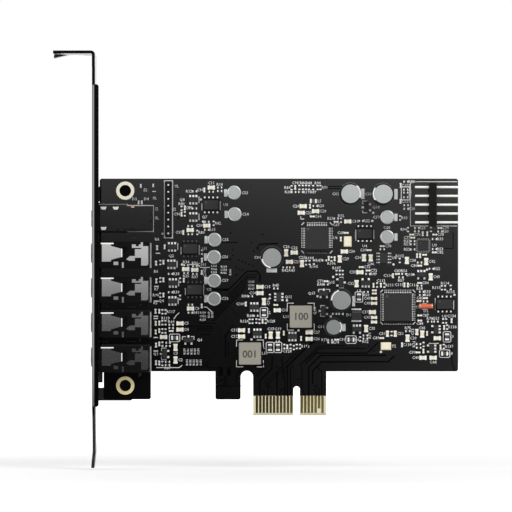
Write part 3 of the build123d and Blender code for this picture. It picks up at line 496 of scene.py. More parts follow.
# The floor lies a little under the card, and its glow turns white between two distances from it, in metres
FLOOR_GAP = 0.0005
FLOOR_BACK = 0.6
FLOOR_GREY = 0.55
FLOOR_GLOW = 0.45
FLOOR_FADE = (0.1, 0.32)
# What mirrors that face the viewer show: how far round the lens it reaches, over which directions up and to
# the right it gets lighter, and how light it is
LENS_CONE = (0.80, 0.97)
LENS_RISE = (-0.0319, 0.0008)
LENS_RIGHT = (-0.02, 0.035)
LENS_CREST = (0.005, 0.0135)
LENS_LEVEL = 0.03
RISE_LEVEL = 0.48
RIGHT_LEVEL = 0.5
CREST_LEVEL = 0.6
# Lamps: place and width, in metres
KEY_LAMP = ((0.75, -0.85, 0.85), 0.7)
SIDE_LAMP = ((-0.95, -0.1, 0.15), 0.8)
FILL_LAMP = ((-0.9, -0.7, 0.25), 0.8)
BACK_LAMP = ((0.1, 0.9, 0.6), 0.8)


class CardFinishes(bpy.types.PropertyGroup):
    """Colours of the card's finishes."""

    mask: FloatVectorProperty(
        name="Solder mask", description="Colour of the board's lacquer", subtype="COLOR",
        default=(0.0035, 0.0036, 0.0040), min=0, max=1)
    laminate: FloatVectorProperty(
        name="Laminate", description="Colour of the board's cut edges", subtype="COLOR",
        default=(0.16, 0.145, 0.085), min=0, max=1)
    bare: FloatVectorProperty(
        name="Bare laminate", description="Colour of the board where the lacquer stops at the connector",
        subtype="COLOR", default=(0.80, 0.76, 0.56), min=0, max=1)
    ink: FloatVectorProperty(
        name="Print", description="Colour of the print on the board", subtype="COLOR",
        default=(0.78, 0.79, 0.78), min=0, max=1)
    steel: FloatVectorProperty(
        name="Bracket coat", description="Colour of the bracket's coating", subtype="COLOR",
        default=(0.0012, 0.0012, 0.0013), min=0, max=1)
    moulding: FloatVectorProperty(
        name="Moulded plastic", description="Colour of the housings of jacks and port", subtype="COLOR",
        default=(0.003, 0.003, 0.0033), min=0, max=1)
    compound: FloatVectorProperty(
        name="Chip moulding", description="Colour of the chips' bodies", subtype="COLOR",
        default=(0.0175, 0.0175, 0.0187), min=0, max=1)
    tin: FloatVectorProperty(
        name="Tin plate", description="Colour of the jacks' contacts and the inductors' terminals",
        subtype="COLOR", default=(0.94, 0.94, 0.93), min=0, max=1)
    gold: FloatVectorProperty(
        name="Gold plate", description="Colour of the edge contacts", subtype="COLOR",
        default=(0.40, 0.315, 0.10), min=0, max=1)
    can: FloatVectorProperty(
        name="Can top", description="Colour of the capacitors' bare aluminium", subtype="COLOR",
        default=(0.42, 0.44, 0.435), min=0, max=1)
    sleeve: FloatVectorProperty(
        name="Sleeve", description="Colour of the capacitors' sleeves", subtype="COLOR",
        default=(0.0035, 0.0035, 0.004), min=0, max=1)
    ceramic: FloatVectorProperty(
        name="Ceramic", description="Colour of the ceramic capacitors", subtype="COLOR",
        default=(0.93, 0.82, 0.62), min=0, max=1)
    inductor: FloatVectorProperty(
        name="Inductor case", description="Colour of the power inductors", subtype="COLOR",
        default=(0.32, 0.305, 0.255), min=0, max=1)
    glass: FloatVectorProperty(
        name="Diode glass", description="Colour of the glass diode", subtype="COLOR",
        default=(0.74, 0.125, 0.04), min=0, max=1)
    lid: FloatVectorProperty(
        name="Crystal lid", description="Colour of the crystals' lids", subtype="COLOR",
        default=(0.97, 0.91, 0.70), min=0, max=1)


class CardSizes(bpy.types.PropertyGroup):
    """Sizes of the card's fine detail."""

    edge_round: FloatProperty(
        name="Edge round", description="Round on moulded edges", unit="LENGTH", precision=6,
        default=0.12 * MM, min=0.01 * MM)
    metal_round: FloatProperty(
        name="Metal round", description="Round on sheet edges", unit="LENGTH", precision=6,
        default=0.07 * MM, min=0.01 * MM)
    ink_lift: FloatProperty(
        name="Print height", description="Height of the print above the board", unit="LENGTH", precision=6,
        default=0.015 * MM, min=0.001 * MM)
    ink_line: FloatProperty(
        name="Print line", description="Width of a printed line", unit="LENGTH", precision=6,
        default=0.26 * MM, min=0.01 * MM)
    letter: FloatProperty(
        name="Letter height", description="Height of a printed letter", unit="LENGTH", precision=6,
        default=0.85 * MM, min=0.1 * MM)
    via: FloatProperty(
        name="Via", description="Diameter of a covered via", unit="LENGTH", precision=6,
        default=0.5 * MM, min=0.05 * MM)


class StudioSettings(bpy.types.PropertyGroup):
    """Camera and light."""

    view_x: FloatProperty(
        name="View across", description="Middle of the view across the board", unit="LENGTH", precision=6,
        default=-11.75 * MM)
    view_z: FloatProperty(
        name="View up", description="Middle of the view up the board", unit="LENGTH", precision=6,
        default=46.2 * MM)
    view_width: FloatProperty(
        name="View width", description="Width seen at the board's face", unit="LENGTH", precision=6,
        default=148.2 * MM, min=1 * MM)
    distance: FloatProperty(
        name="Distance", description="Camera's distance from the board", unit="LENGTH", default=1.62, min=0.1)
    key_power: FloatProperty(
        name="Key light", description="Power of the upper right light", unit="POWER", default=9.0, min=0)
    side_power: FloatProperty(
        name="Side light", description="Power of the left light", unit="POWER", default=6.0, min=0)
    fill_power: FloatProperty(
        name="Fill light", description="Power of the lights at the left and behind", unit="POWER",
        default=3.0, min=0)
    ambient: FloatProperty(
        name="Ambient", description="Strength of light from all round", subtype="FACTOR",
        default=0.5, min=0, max=1)


class Field:
    """A shader socket that can stand in a sum: each operator adds one Math node."""

    def __init__(self, finish, socket):
        self.finish = finish
        self.socket = socket

    def _math(self, operation, *terms):
        return self.finish.node("ShaderNodeMath", {"operation": operation}, dict(enumerate(terms)))

    def __add__(self, other):
        return self._math("ADD", self, other)

    __radd__ = __add__

    def __sub__(self, other):
        return self._math("SUBTRACT", self, other)

    def __rsub__(self, other):
        return self._math("SUBTRACT", other, self)

    def __mul__(self, other):
        return self._math("MULTIPLY", self, other)

    __rmul__ = __mul__

    def __abs__(self):
        return self._math("ABSOLUTE", self)

    def larger(self, other):
        """The larger of two fields."""
        return self._math("MAXIMUM", self, other)

    def eased(self, low, high, way="SMOOTHSTEP"):
        """Nought below low, one above high and smooth or straight between."""
        inputs = {"Value": self, "From Min": low, "From Max": high}
        return self.finish.node("ShaderNodeMapRange", {"interpolation_type": way}, inputs)

    def band(self, rise, fall):
        """One between a rise and a fall, each given by its start and its end."""
        return self.eased(*rise) * (1.0 - self.eased(*fall))


class Finish:
    """A node tree that is written as expressions."""

    def __init__(self, tree):
        self.tree = tree

    def node(self, kind, settings=None, inputs=None, output=0):
        """Add a node, set it up, fill its sockets and give one of its outputs."""
        node = self.tree.nodes.new(kind)
        for name, value in (settings or {}).items():
            setattr(node, name, value)
        for name, value in (inputs or {}).items():
            socket = node.inputs[name]
            if isinstance(value, Field):
                self.tree.links.new(value.socket, socket)
            else:
                socket.default_value = value
        return Field(self, node.outputs[output])

    def feed(self, shader, name, field):
        """Link a field to a shader's socket."""
        self.tree.links.new(field.socket, shader.inputs[name])

    def place(self):
        """The surface's place on the object, in metres."""
        return self.node("ShaderNodeTexCoord", output="Object")

    def part(self, vector, axis):
        """One coordinate of a vector."""
        return self.node("ShaderNodeSeparateXYZ", inputs={"Vector": vector}, output=axis)

    def along(self, axis):
        """One coordinate of the surface's place."""
        return self.part(self.place(), axis)

    def ray(self, kind):
        """Whether a ray is of one kind."""
        return self.node("ShaderNodeLightPath", output=f"Is {kind} Ray")

    def noise(self, size, detail, stretch=(1, 1, 1)):
        """Soft mottling whose grains are about as large as given, in millimetres."""
        spread = {"Vector": self.place(), "Scale": stretch}
        stretched = self.node("ShaderNodeMapping", {"vector_type": "POINT"}, spread)
        grains = {"Vector": stretched, "Scale": 1 / (size * MM), "Detail": detail}
        return self.node("ShaderNodeTexNoise", inputs=grains)

    def blend(self, factor, first, second):
        """A colour between two, by a factor."""
        return self.node("ShaderNodeMix", {"data_type": "RGBA"}, {0: factor, 6: first, 7: second}, output=2)

    def tones(self, factor, colour, dark, light):
        """A colour that goes from a darker to a lighter tone of itself."""
        return self.blend(factor, rgba(colour, dark), rgba(colour, light))

    def bump(self, height, depth):
        """Relief from a height field, with its depth in millimetres."""
        return self.node("ShaderNodeBump", inputs={"Height": height, "Distance": depth * MM, "Strength": 1.0})


def rgba(colour, factor=1.0):
    """A colour with its alpha, made lighter or darker by a factor."""
    return (*[min(1.0, channel * factor) for channel in colour], 1.0)


def tinted(colour, factor):
    """A colour made darker by a factor."""
    return tuple(channel * factor for channel in colour)


def span(start, low, high):
    """Two places along an axis, in metres, as far from a start as is given in millimetres."""
    return start + low * MM, start + high * MM


def made_once(name, write, *terms, **values):
    """The material of that name, written by a function when it is first asked for."""
    material = bpy.data.materials.get(name)
    if not material:
        material = bpy.data.materials.new(name)
        material.use_nodes = True
        write(Finish(material.node_tree), material.node_tree.nodes["Principled BSDF"], *terms, **values)
    return material


def set_constants(shader, constants):
    """Set what stays the same all over a surface."""
    for name, value in constants.items():
        shader.inputs[name].default_value = value


def plain(finish, shader, colour, roughness, metallic=0.0, grain=0.3, vary=0.25, rough_vary=0.08, depth=0.004,
          coat=0.0, stretch=(1, 1, 1), specular=0.5):
    """Fine mottling in colour, gloss and relief, with its grain and depth in millimetres."""
    set_constants(shader, {
        "Metallic": metallic, "Specular IOR Level": specular, "Coat Weight": coat, "Coat Roughness": 0.12})
    fine = finish.noise(grain, FINE_DETAIL, stretch)
    broad = finish.noise(grain * BROAD_GRAIN, BROAD_DETAIL, stretch)
    finish.feed(shader, "Base Color", finish.tones(fine, colour, 1 - vary, 1 + vary))
    finish.feed(shader, "Roughness", roughness + (broad - 0.5) * (2 * rough_vary))
    finish.feed(shader, "Normal", finish.bump(fine, depth))


def nosed(finish, shader, colour, roughness, specular):
    """Black moulding, glossier on the noses that stand out of the bracket."""
    plain(finish, shader, colour, roughness, grain=0.16, depth=0.0004, specular=specular, rough_vary=0.03)
    outside = 1.0 - finish.along("X").eased(*span(BRACKET_FACE, 0.0, 0.1))
    finish.feed(shader, "Coat Weight", outside)


def lacquered(finish, shader, colours):
    """Glossy black lacquer, with bare laminate at the cut edges and at the connector."""
    set_constants(shader, {"Specular IOR Level": 0.0, "Coat IOR": 1.42, "Coat Roughness": 0.04})
    edge = (abs(finish.along("Y")) * -1.0 + BACK * MM).eased(*span(0.0, *CUT_EDGE))
    past_hook = finish.along("X").eased(*span(0.0, *TAB_LEFT))
    tab = past_hook * (1.0 - finish.along("Z").eased(*span(0.0, *TAB_TOP)))
    weave = finish.noise(0.9, BROAD_DETAIL)
    fibres = finish.noise(0.25, 3.0, (1, 6, 1))
    lacquer = finish.tones(weave, colours.mask, 0.8, 1.25)
    laminate = finish.tones(fibres, colours.laminate, 0.55, 1.2)
    bare = finish.tones(fibres, colours.bare, 0.92, 1.05)
    finish.feed(shader, "Base Color", finish.blend(tab, finish.blend(edge, lacquer, laminate), bare))
    finish.feed(shader, "Roughness", 0.4 + weave * 0.1 + edge * 0.3)
    finish.feed(shader, "Coat Weight", 1.0 - tab.larger(edge))
    finish.feed(shader, "Normal", finish.bump(weave * 0.6 + fibres * 0.2, 0.0012))


def painted_bend_highlight(finish, shader, colour):
    """Black coat, with a painted highlight in grey metal along the outer bend of the lip that faces the
    viewer.
    """
    set_constants(shader, {"Specular IOR Level": 0.05, "Coat Roughness": 0.28, "Coat IOR": 1.45})
    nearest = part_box("bracket")[0].y
    bend = finish.along("X").band(*[span(BRACKET_FACE, *side) for side in HIGHLIGHT_BEND])
    length = finish.along("Z").band(*[span(0.0, *end) for end in HIGHLIGHT_LENGTH])
    near = 1.0 - finish.along("Y").eased(*span(nearest, *HIGHLIGHT_DEPTH))
    # The grey metal band along the bend is a painted highlight
    painted_highlight = bend * length * near
    fine = finish.noise(0.1, FINE_DETAIL)
    coat = finish.tones(fine, colour, 0.8, 1.2)
    # bare holds the painted highlight's greys
    bare = finish.blend(fine, rgba((HIGHLIGHT_DARK,) * 3), rgba((HIGHLIGHT_LIGHT,) * 3))
    finish.feed(shader, "Base Color", finish.blend(painted_highlight, coat, bare))
    finish.feed(shader, "Metallic", painted_highlight)
    finish.feed(shader, "Roughness", 0.08 + fine * 0.04)
    finish.feed(shader, "Coat Weight", finish.along("Y").eased(*span(nearest, *COAT_DEPTH)))
    finish.feed(shader, "Normal", finish.bump(fine, 0.0006))


def gold_plated(finish, shader, colour):
    """Gold plate, rubbed duller towards the contacts farthest from the bracket."""
    set_constants(shader, {"Metallic": 1.0})
    low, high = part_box("edge_contacts")
    rubbed = finish.along("X").eased(low.x, high.x, "LINEAR")
    fine = finish.noise(PLATE_GRAIN, FINE_DETAIL)
    finish.feed(shader, "Base Color", finish.tones(fine, colour, 0.9, 1.1))
    finish.feed(shader, "Roughness", 0.03 + rubbed * 0.06 + fine * 0.01)
    finish.feed(shader, "Normal", finish.bump(fine, 0.0003))


def ring_plated(finish, shader):
    """Pale plate on the barrels: smoother on the upper one, rougher on the lower one, whose yellower and
    darker colour is painted shade.
    """
    set_constants(shader, {"Metallic": 0.9})
    low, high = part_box("threaded_barrels")
    gloss_and_painted_light = finish.along("Z").eased(low.z, high.z)
    fine = finish.noise(PLATE_GRAIN, FINE_DETAIL)
    finish.feed(shader, "Base Color", finish.blend(gloss_and_painted_light, rgba(LOWER_RING), rgba(UPPER_RING)))
    finish.feed(shader, "Roughness", 0.62 - gloss_and_painted_light * 0.52 + fine * 0.03)
    finish.feed(shader, "Normal", finish.bump(fine, 0.0002))


def floor_glow(finish, shader):
    """A floor that shows the card's shadow near it and fades to white farther off."""
    set_constants(shader, {
        "Base Color": rgba((FLOOR_GREY,) * 3), "Roughness": 0.9, "Specular IOR Level": 0.0,
        "Emission Strength": 1.0})
    away = finish.node("ShaderNodeVectorMath", {"operation": "LENGTH"}, {0: finish.place()}, output="Value")
    glow = finish.blend(away.eased(*FLOOR_FADE), rgba((FLOOR_GLOW,) * 3), rgba((1, 1, 1)))
    finish.feed(shader, "Emission Color", finish.blend(finish.ray("Camera"), rgba((0, 0, 0)), glow))


def palette(context):
    """Every finish that pieces of the card share, by name."""
    colours = context.scene.card_finishes
    table = {
        "ink": dict(colour=colours.ink, roughness=0.6, grain=0.12, vary=0.1),
        "letter": dict(colour=tinted(colours.ink, 0.95), roughness=0.6, grain=0.12, vary=0.15),
        "faint": dict(colour=tinted(colours.ink, 0.1), roughness=0.6, grain=0.12, vary=0.2),
        "trace": dict(colour=(0.0012, 0.0012, 0.0013), roughness=0.5, grain=0.8, specular=0.02),
        "via": dict(colour=(0.0014, 0.0014, 0.0016), roughness=0.5, grain=0.3, specular=0.05),
        "screw": dict(colour=(0.001, 0.001, 0.0011), roughness=0.4, grain=0.2, depth=0.002, specular=0.05),
        "header": dict(colour=(0.003, 0.003, 0.0031), roughness=0.4, grain=0.16, depth=0.002, specular=0.16),
        "pin": dict(
            colour=(1.0, 0.99, 0.92), roughness=0.12, metallic=0.3, grain=0.22, vary=0.05, depth=0.001),
        "contact": dict(
            colour=colours.tin, roughness=0.035, metallic=1.0, grain=0.5, vary=0.03, depth=0.00005,
            rough_vary=0.01),
        "lead": dict(
            colour=(0.97, 0.97, 0.95), roughness=0.3, metallic=0.05, grain=0.2, vary=0.05, depth=0.001),
        # Darker copies of the lead finish: painted shade for slopes, feet and shaded leads
        "fine_lead": dict(
            colour=(0.30, 0.30, 0.29), roughness=0.4, metallic=0.2, grain=0.2, vary=0.1, depth=0.001),
        "dim_lead": dict(colour=(0.06, 0.06, 0.06), roughness=0.45, grain=0.2, vary=0.15),
        "dull_lead": dict(colour=(0.012, 0.012, 0.012), roughness=0.5, grain=0.2, vary=0.2, specular=0.2),
        "cap": dict(
            colour=(0.97, 0.97, 0.95), roughness=0.35, metallic=0.05, grain=0.15, vary=0.05, depth=0.001),
        "tin": dict(colour=colours.tin, roughness=0.2, metallic=0.85, grain=0.22, vary=0.08, depth=0.002),
        "amber": dict(
            colour=(0.85, 0.42, 0.25), roughness=0.2, metallic=0.6, grain=0.2, vary=0.06, depth=0.001),
        "solder": dict(colour=(0.72, 0.72, 0.71), roughness=0.25, metallic=1.0, grain=0.25, vary=0.08),
        "chip": dict(colour=colours.compound, roughness=0.55, grain=0.07, vary=0.3, specular=0.32),
        # A darker copy of the chip finish: painted shade on the chips' sides and in the port's notches
        "flank": dict(colour=(0.006, 0.006, 0.0065), roughness=0.6, grain=0.07, vary=0.3, specular=0.1),
        "dimple": dict(colour=(0.055, 0.055, 0.058), roughness=0.35, grain=0.07),
        "can": dict(
            colour=colours.can, roughness=0.05, metallic=0.6, grain=0.15, vary=0.07, depth=0.0001,
            stretch=(1, 1, 5), rough_vary=0.015),
        "rim": dict(
            colour=(0.50, 0.51, 0.50), roughness=0.38, metallic=0.7, grain=0.2, vary=0.05, depth=0.001),
        "sleeve": dict(colour=colours.sleeve, roughness=0.32, grain=0.4, specular=0.18),
        "stripe": dict(colour=(0.90, 0.90, 0.89), roughness=0.4, grain=0.3, vary=0.04),
        "ceramic": dict(colour=colours.ceramic, roughness=0.45, grain=0.09, vary=0.14),
        "cream": dict(colour=(0.92, 0.82, 0.62), roughness=0.45, grain=0.07, vary=0.1),
        "resistor": dict(colour=(0.022, 0.022, 0.025), roughness=0.32, grain=0.1),
        "jumper": dict(colour=(0.80, 0.80, 0.77), roughness=0.5, grain=0.1, vary=0.08),
        "ferrite": dict(colour=(0.075, 0.072, 0.07), roughness=0.5, grain=0.1),
        "lid": dict(colour=colours.lid, roughness=0.4, grain=0.3, vary=0.04),
        "inductor": dict(colour=colours.inductor, roughness=0.55, grain=0.14, vary=0.12, depth=0.012),
        "figure": dict(colour=(0.06, 0.058, 0.052), roughness=0.6, grain=0.1),
        "glass": dict(colour=colours.glass, roughness=0.12, grain=0.5, vary=0.1, coat=0.6),
    }
    finishes = {name: made_once(f"{name}_finish", plain, **values) for name, values in table.items()}
    finishes["moulding"] = made_once("moulding_finish", nosed, colours.moulding, roughness=0.2, specular=0.1)
    finishes["port"] = made_once("port_finish", nosed, colours.moulding, roughness=0.07, specular=0.35)
    finishes["ring"] = made_once("ring_finish", ring_plated)
    finishes["mask"] = made_once("solder_mask_finish", lacquered, colours)
    finishes["bracket"] = made_once("bracket_finish", painted_bend_highlight, colours.steel)
    finishes["gold"] = made_once("gold_finish", gold_plated, colours.gold)
    return finishes


def node_box(node):
    """Lowest and highest corner of a node, in millimetres."""
    return [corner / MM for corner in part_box(node)]


def extent(vertices):
    """Lowest and highest corner of some vertices."""
    low = Vector([min(vertex.co[axis] for vertex in vertices) for axis in range(3)])
    high = Vector([max(vertex.co[axis] for vertex in vertices) for axis in range(3)])
    return low, high


def paint(bm, slot):
    """Give a whole mesh one of its piece's finishes."""
    for face in bm.faces:
        face.material_index = slot


def finish_piece(name, bm, materials, *nodes, slot, smooth=SHARP_ANGLE, flat=True):
    """Make a mesh that was built in millimetres a piece of the card, in place of the nodes it stands for."""
    bmesh.ops.transform(bm, matrix=TO_METRES, verts=bm.verts)
    mesh = bpy.data.meshes.new(name)
    bm.to_mesh(mesh)
    bm.free()
    for polygon in mesh.polygons:
        polygon.use_smooth = True
    mesh.set_sharp_from_angle(angle=smooth)
    for material in materials:
        mesh.materials.append(material)
    piece = bpy.data.objects.new(name, mesh)
    bpy.context.scene.collection.objects.link(piece)
    if flat:
        normals = piece.modifiers.new("flat_faces", "WEIGHTED_NORMAL")
        normals.keep_sharp = True
        normals.weight = 100
    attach(piece, "root")
    if nodes:
        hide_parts(*nodes)
    return piece


def node_mesh(node):
    """A node's solids as one clean mesh, in millimetres."""
    bm = bmesh.new()
    bm.from_mesh(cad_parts[node].data)
    bmesh.ops.transform(bm, matrix=TO_MILLIMETRES, verts=bm.verts)
    bmesh.ops.remove_doubles(bm, verts=bm.verts, dist=NODE_MERGE)
    return bm


def across_then_up(box):
    """Where a box stands in a row of boxes."""
    return round(box[0].x, 2), round(box[0].z, 2)


def islands(node):
    """Lowest and highest corner of each solid in a node, in millimetres."""
    bm = node_mesh(node)
    boxes = []
    left = set(bm.verts)
    while left:
        reached = [left.pop()]
        for vertex in reached:
            for edge in vertex.link_edges:
                other = edge.other_vert(vertex)
                if other in left:
                    left.remove(other)
                    reached.append(other)
        boxes.append(extent(reached))
    bm.free()
    return sorted(boxes, key=across_then_up)


def round_edges(bm, edges, width, segments=2):
    """Round some edges of a mesh."""
    bmesh.ops.bevel(
        bm, geom=edges, offset=width, offset_type="OFFSET", segments=segments, profile=0.5, affect="EDGES",
        clamp_overlap=True, material=-1)


def flat_faced(node):
    """A node's solids with their flat faces made whole."""
    bm = node_mesh(node)
    bmesh.ops.dissolve_limit(bm, angle_limit=PLANE_ANGLE, verts=bm.verts, edges=bm.edges)
    return bm


def dress(node, material, slot, segments=2, width=None):
    """Copy a node's solids, round their sharp edges by a width or their own and give them a finish."""
    bm = flat_faced(node)
    if width is None:
        width = EDGE_ROUNDS[node]
    if width:
        sharp = [edge for edge in bm.edges if edge.is_manifold and edge.calc_face_angle(0) > SHARP_ANGLE]
        round_edges(bm, sharp, width, segments)
    finish_piece(f"{node}_dressed", bm, [material], node, slot=slot)


def block(low, high, width=0.0, segments=1, slot=0):
    """A box, with its edges rounded where a width is given, as a mesh to stamp or join."""
    bm = bmesh.new()
    size = Vector(high) - Vector(low)
    middle = (Vector(high) + Vector(low)) / 2
    matrix = Matrix.Translation(middle) @ Matrix.Diagonal((*size, 1))
    bmesh.ops.create_cube(bm, size=1, matrix=matrix)
    if width:
        round_edges(bm, bm.edges[:], width, segments)
    paint(bm, slot)
    return bm


def thicken(bm, vector):
    """Draw the faces of a flat mesh out into a closed one."""
    extruded = bmesh.ops.extrude_face_region(bm, geom=bm.faces[:])
    moved = [item for item in extruded["geom"] if isinstance(item, bmesh.types.BMVert)]
    bmesh.ops.translate(bm, vec=vector, verts=moved)
    bmesh.ops.recalc_face_normals(bm, faces=bm.faces)


def disc(radius, thickness, steps=DOT_STEPS, lift=0.0, slot=0):
    """A round pad facing the viewer, as a mesh to stamp."""
    bm = bmesh.new()
    facing = Matrix.Translation((0, -lift, 0)) @ Matrix.Rotation(math.radians(90), 4, "X")
    bmesh.ops.create_circle(bm, cap_ends=True, radius=radius, segments=steps, matrix=facing)
    thicken(bm, (0, -thickness, 0))
    paint(bm, slot)
    return bm


def lathe(profile, steps):
    """A round form turned about the line of sight: each profile point is a radius and a height."""
    bm = bmesh.new()
    points = [bm.verts.new((radius, -height, 0)) for radius, height in profile]
    edges = [bm.edges.new(pair) for pair in zip(points, points[1:])]
    bmesh.ops.spin(
        bm, geom=points + edges, cent=(0, 0, 0), axis=(0, 1, 0), angle=math.tau, steps=steps, use_merge=True)
    bmesh.ops.remove_doubles(bm, verts=bm.verts, dist=TURNED_MERGE)
    bmesh.ops.recalc_face_normals(bm, faces=bm.faces)
    return bm


class Stamp:
    """Collects copies of small meshes into one piece."""

    def __init__(self):
        self.bm = bmesh.new()
        self.kept = {}

    def add(self, name, matrix, make, *terms, **values):
        """Add a copy of a mesh that a function makes once and that is kept under a name."""
        if name not in self.kept:
            source = make(*terms, **values)
            self.kept[name] = bpy.data.meshes.new(name)
            source.to_mesh(self.kept[name])
            source.free()
        first = len(self.bm.verts)
        self.bm.from_mesh(self.kept[name])
        self.bm.verts.ensure_lookup_table()
        bmesh.ops.transform(self.bm, matrix=matrix, verts=self.bm.verts[first:])

    def join(self, bm):
        """Add a mesh that is used once."""
        mesh = bpy.data.meshes.new("joined")
        bm.to_mesh(mesh)
        bm.free()
        self.bm.from_mesh(mesh)
        bpy.data.meshes.remove(mesh)

    def finish(self, name, materials, *nodes, **values):
        """Make the collected copies a piece."""
        for mesh in self.kept.values():
            bpy.data.meshes.remove(mesh)
        return finish_piece(name, self.bm, materials, *nodes, **values)


def on_front(x, z, lift=0.0, turn=0.0):
    """The matrix that sets a mesh on the board's front, turned about the line of sight."""
    return Matrix.Translation((x, FRONT - lift, z)) @ Matrix.Rotation(math.radians(-turn), 4, "Y")


def on_back(x, z):
    """The matrix that sets a mesh on the board's back."""
    return Matrix.Translation((x, BACK, z)) @ Matrix.Rotation(math.pi, 4, "Z")


def curve_mesh(curve):
    """A text or a curve as a mesh to place."""
    holder = bpy.data.objects.new(curve.name, curve)
    bpy.context.scene.collection.objects.link(holder)
    mesh = bpy.data.meshes.new_from_object(holder.evaluated_get(bpy.context.evaluated_depsgraph_get()))
    bpy.data.objects.remove(holder)
    bpy.data.curves.remove(curve)
    bm = bmesh.new()
    bm.from_mesh(mesh)
    bpy.data.meshes.remove(mesh)
    return bm


def ribbons(stamp, lines, width, lift, level=FRONT, slot=0):
    """Flat raised lines along the board, as one curve whose round section is pressed flat."""
    curve = bpy.data.curves.new("ribbons", "CURVE")
    curve.dimensions = "3D"
    curve.bevel_depth = width / 2
    curve.bevel_resolution = 1
    curve.use_fill_caps = True
    for points, closed in lines:
        spline = curve.splines.new("POLY")
        spline.points.add(len(points) - 1)
        spline.use_cyclic_u = closed
        for point, (x, z) in zip(spline.points, points):
            point.co = (x, 0, z, 1)
    bm = curve_mesh(curve)
    press = Matrix.Translation((0, level, 0)) @ Matrix.Diagonal((1, 2 * lift / width, 1, 1))
    bmesh.ops.transform(bm, matrix=press, verts=bm.verts)
    paint(bm, slot)
    stamp.join(bm)


def letters(stamp, text, x, z, height, lift, turn=0.0, slot=0, level=0.0, bold=LETTER_BOLD, smooth=1):
    """Raised letters on the board's front or at a given level above it."""
    curve = bpy.data.curves.new("letters", "FONT")
    curve.body = text
    curve.size = height * LETTER_SCALE
    curve.align_x = "CENTER"
    curve.align_y = "CENTER"
    curve.resolution_u = smooth
    curve.offset = bold
    curve.extrude = lift / 2
    bm = curve_mesh(curve)
    stand = Matrix.Rotation(math.radians(90), 4, "X")
    bmesh.ops.transform(bm, matrix=on_front(x, z, level + lift / 2, turn) @ stand, verts=bm.verts)
    bmesh.ops.remove_doubles(bm, verts=bm.verts, dist=LETTER_MERGE)
    paint(bm, slot)
    stamp.join(bm)


class CARD_OT_bracket(bpy.types.Operator):
    """Coat the folded bracket and set its screws and rings"""

    bl_idname = "card.bracket"
    bl_label = "Bracket"
    bl_options = {"REGISTER", "UNDO"}

    def execute(self, context):
        finishes = palette(context)
        dress("bracket", finishes["bracket"], "black_steel", width=context.scene.card_sizes.metal_round / MM)
        dress("bracket_screws", finishes["screw"], "black_screw")
        dress("threaded_barrels", finishes["ring"], "gold_plate", segments=1)
        return {"FINISHED"}


class CARD_OT_board(bpy.types.Operator):
    """Lacquer the board and lay its copper runs and vias under the lacquer"""

    bl_idname = "card.board"
    bl_label = "Board"
    bl_options = {"REGISTER", "UNDO"}

    def execute(self, context):
        finishes = palette(context)
        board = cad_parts["circuit_board"]
        board.data.materials.clear()
        board.data.materials.append(finishes["mask"])
        stamp = Stamp()
        for width, runs in ((WIDE_RUN, WIDE_RUNS), (FINE_RUN, FINE_RUNS)):
            for level in (FRONT, BACK):
                ribbons(stamp, [(corners, False) for corners in runs], width, RUN_LIFT, level=level)
        radius = context.scene.card_sizes.via / MM / 2
        for x, z in VIAS:
            for place in (on_front(x, z), on_back(x, z)):
                stamp.add("via", place, disc, radius, PAD_LIFT, steps=VIA_STEPS, slot=1)
        for x in HOOK_PADS:
            low = (x - HOOK_PAD_HALF, FRONT - PAD_LIFT, HOOK_PAD_LOW)
            stamp.join(block(low, (x + HOOK_PAD_HALF, FRONT, HOOK_PAD_HIGH)))
        stamp.finish("copper_runs", [finishes["trace"], finishes["via"]], slot="solder_mask")
        return {"FINISHED"}


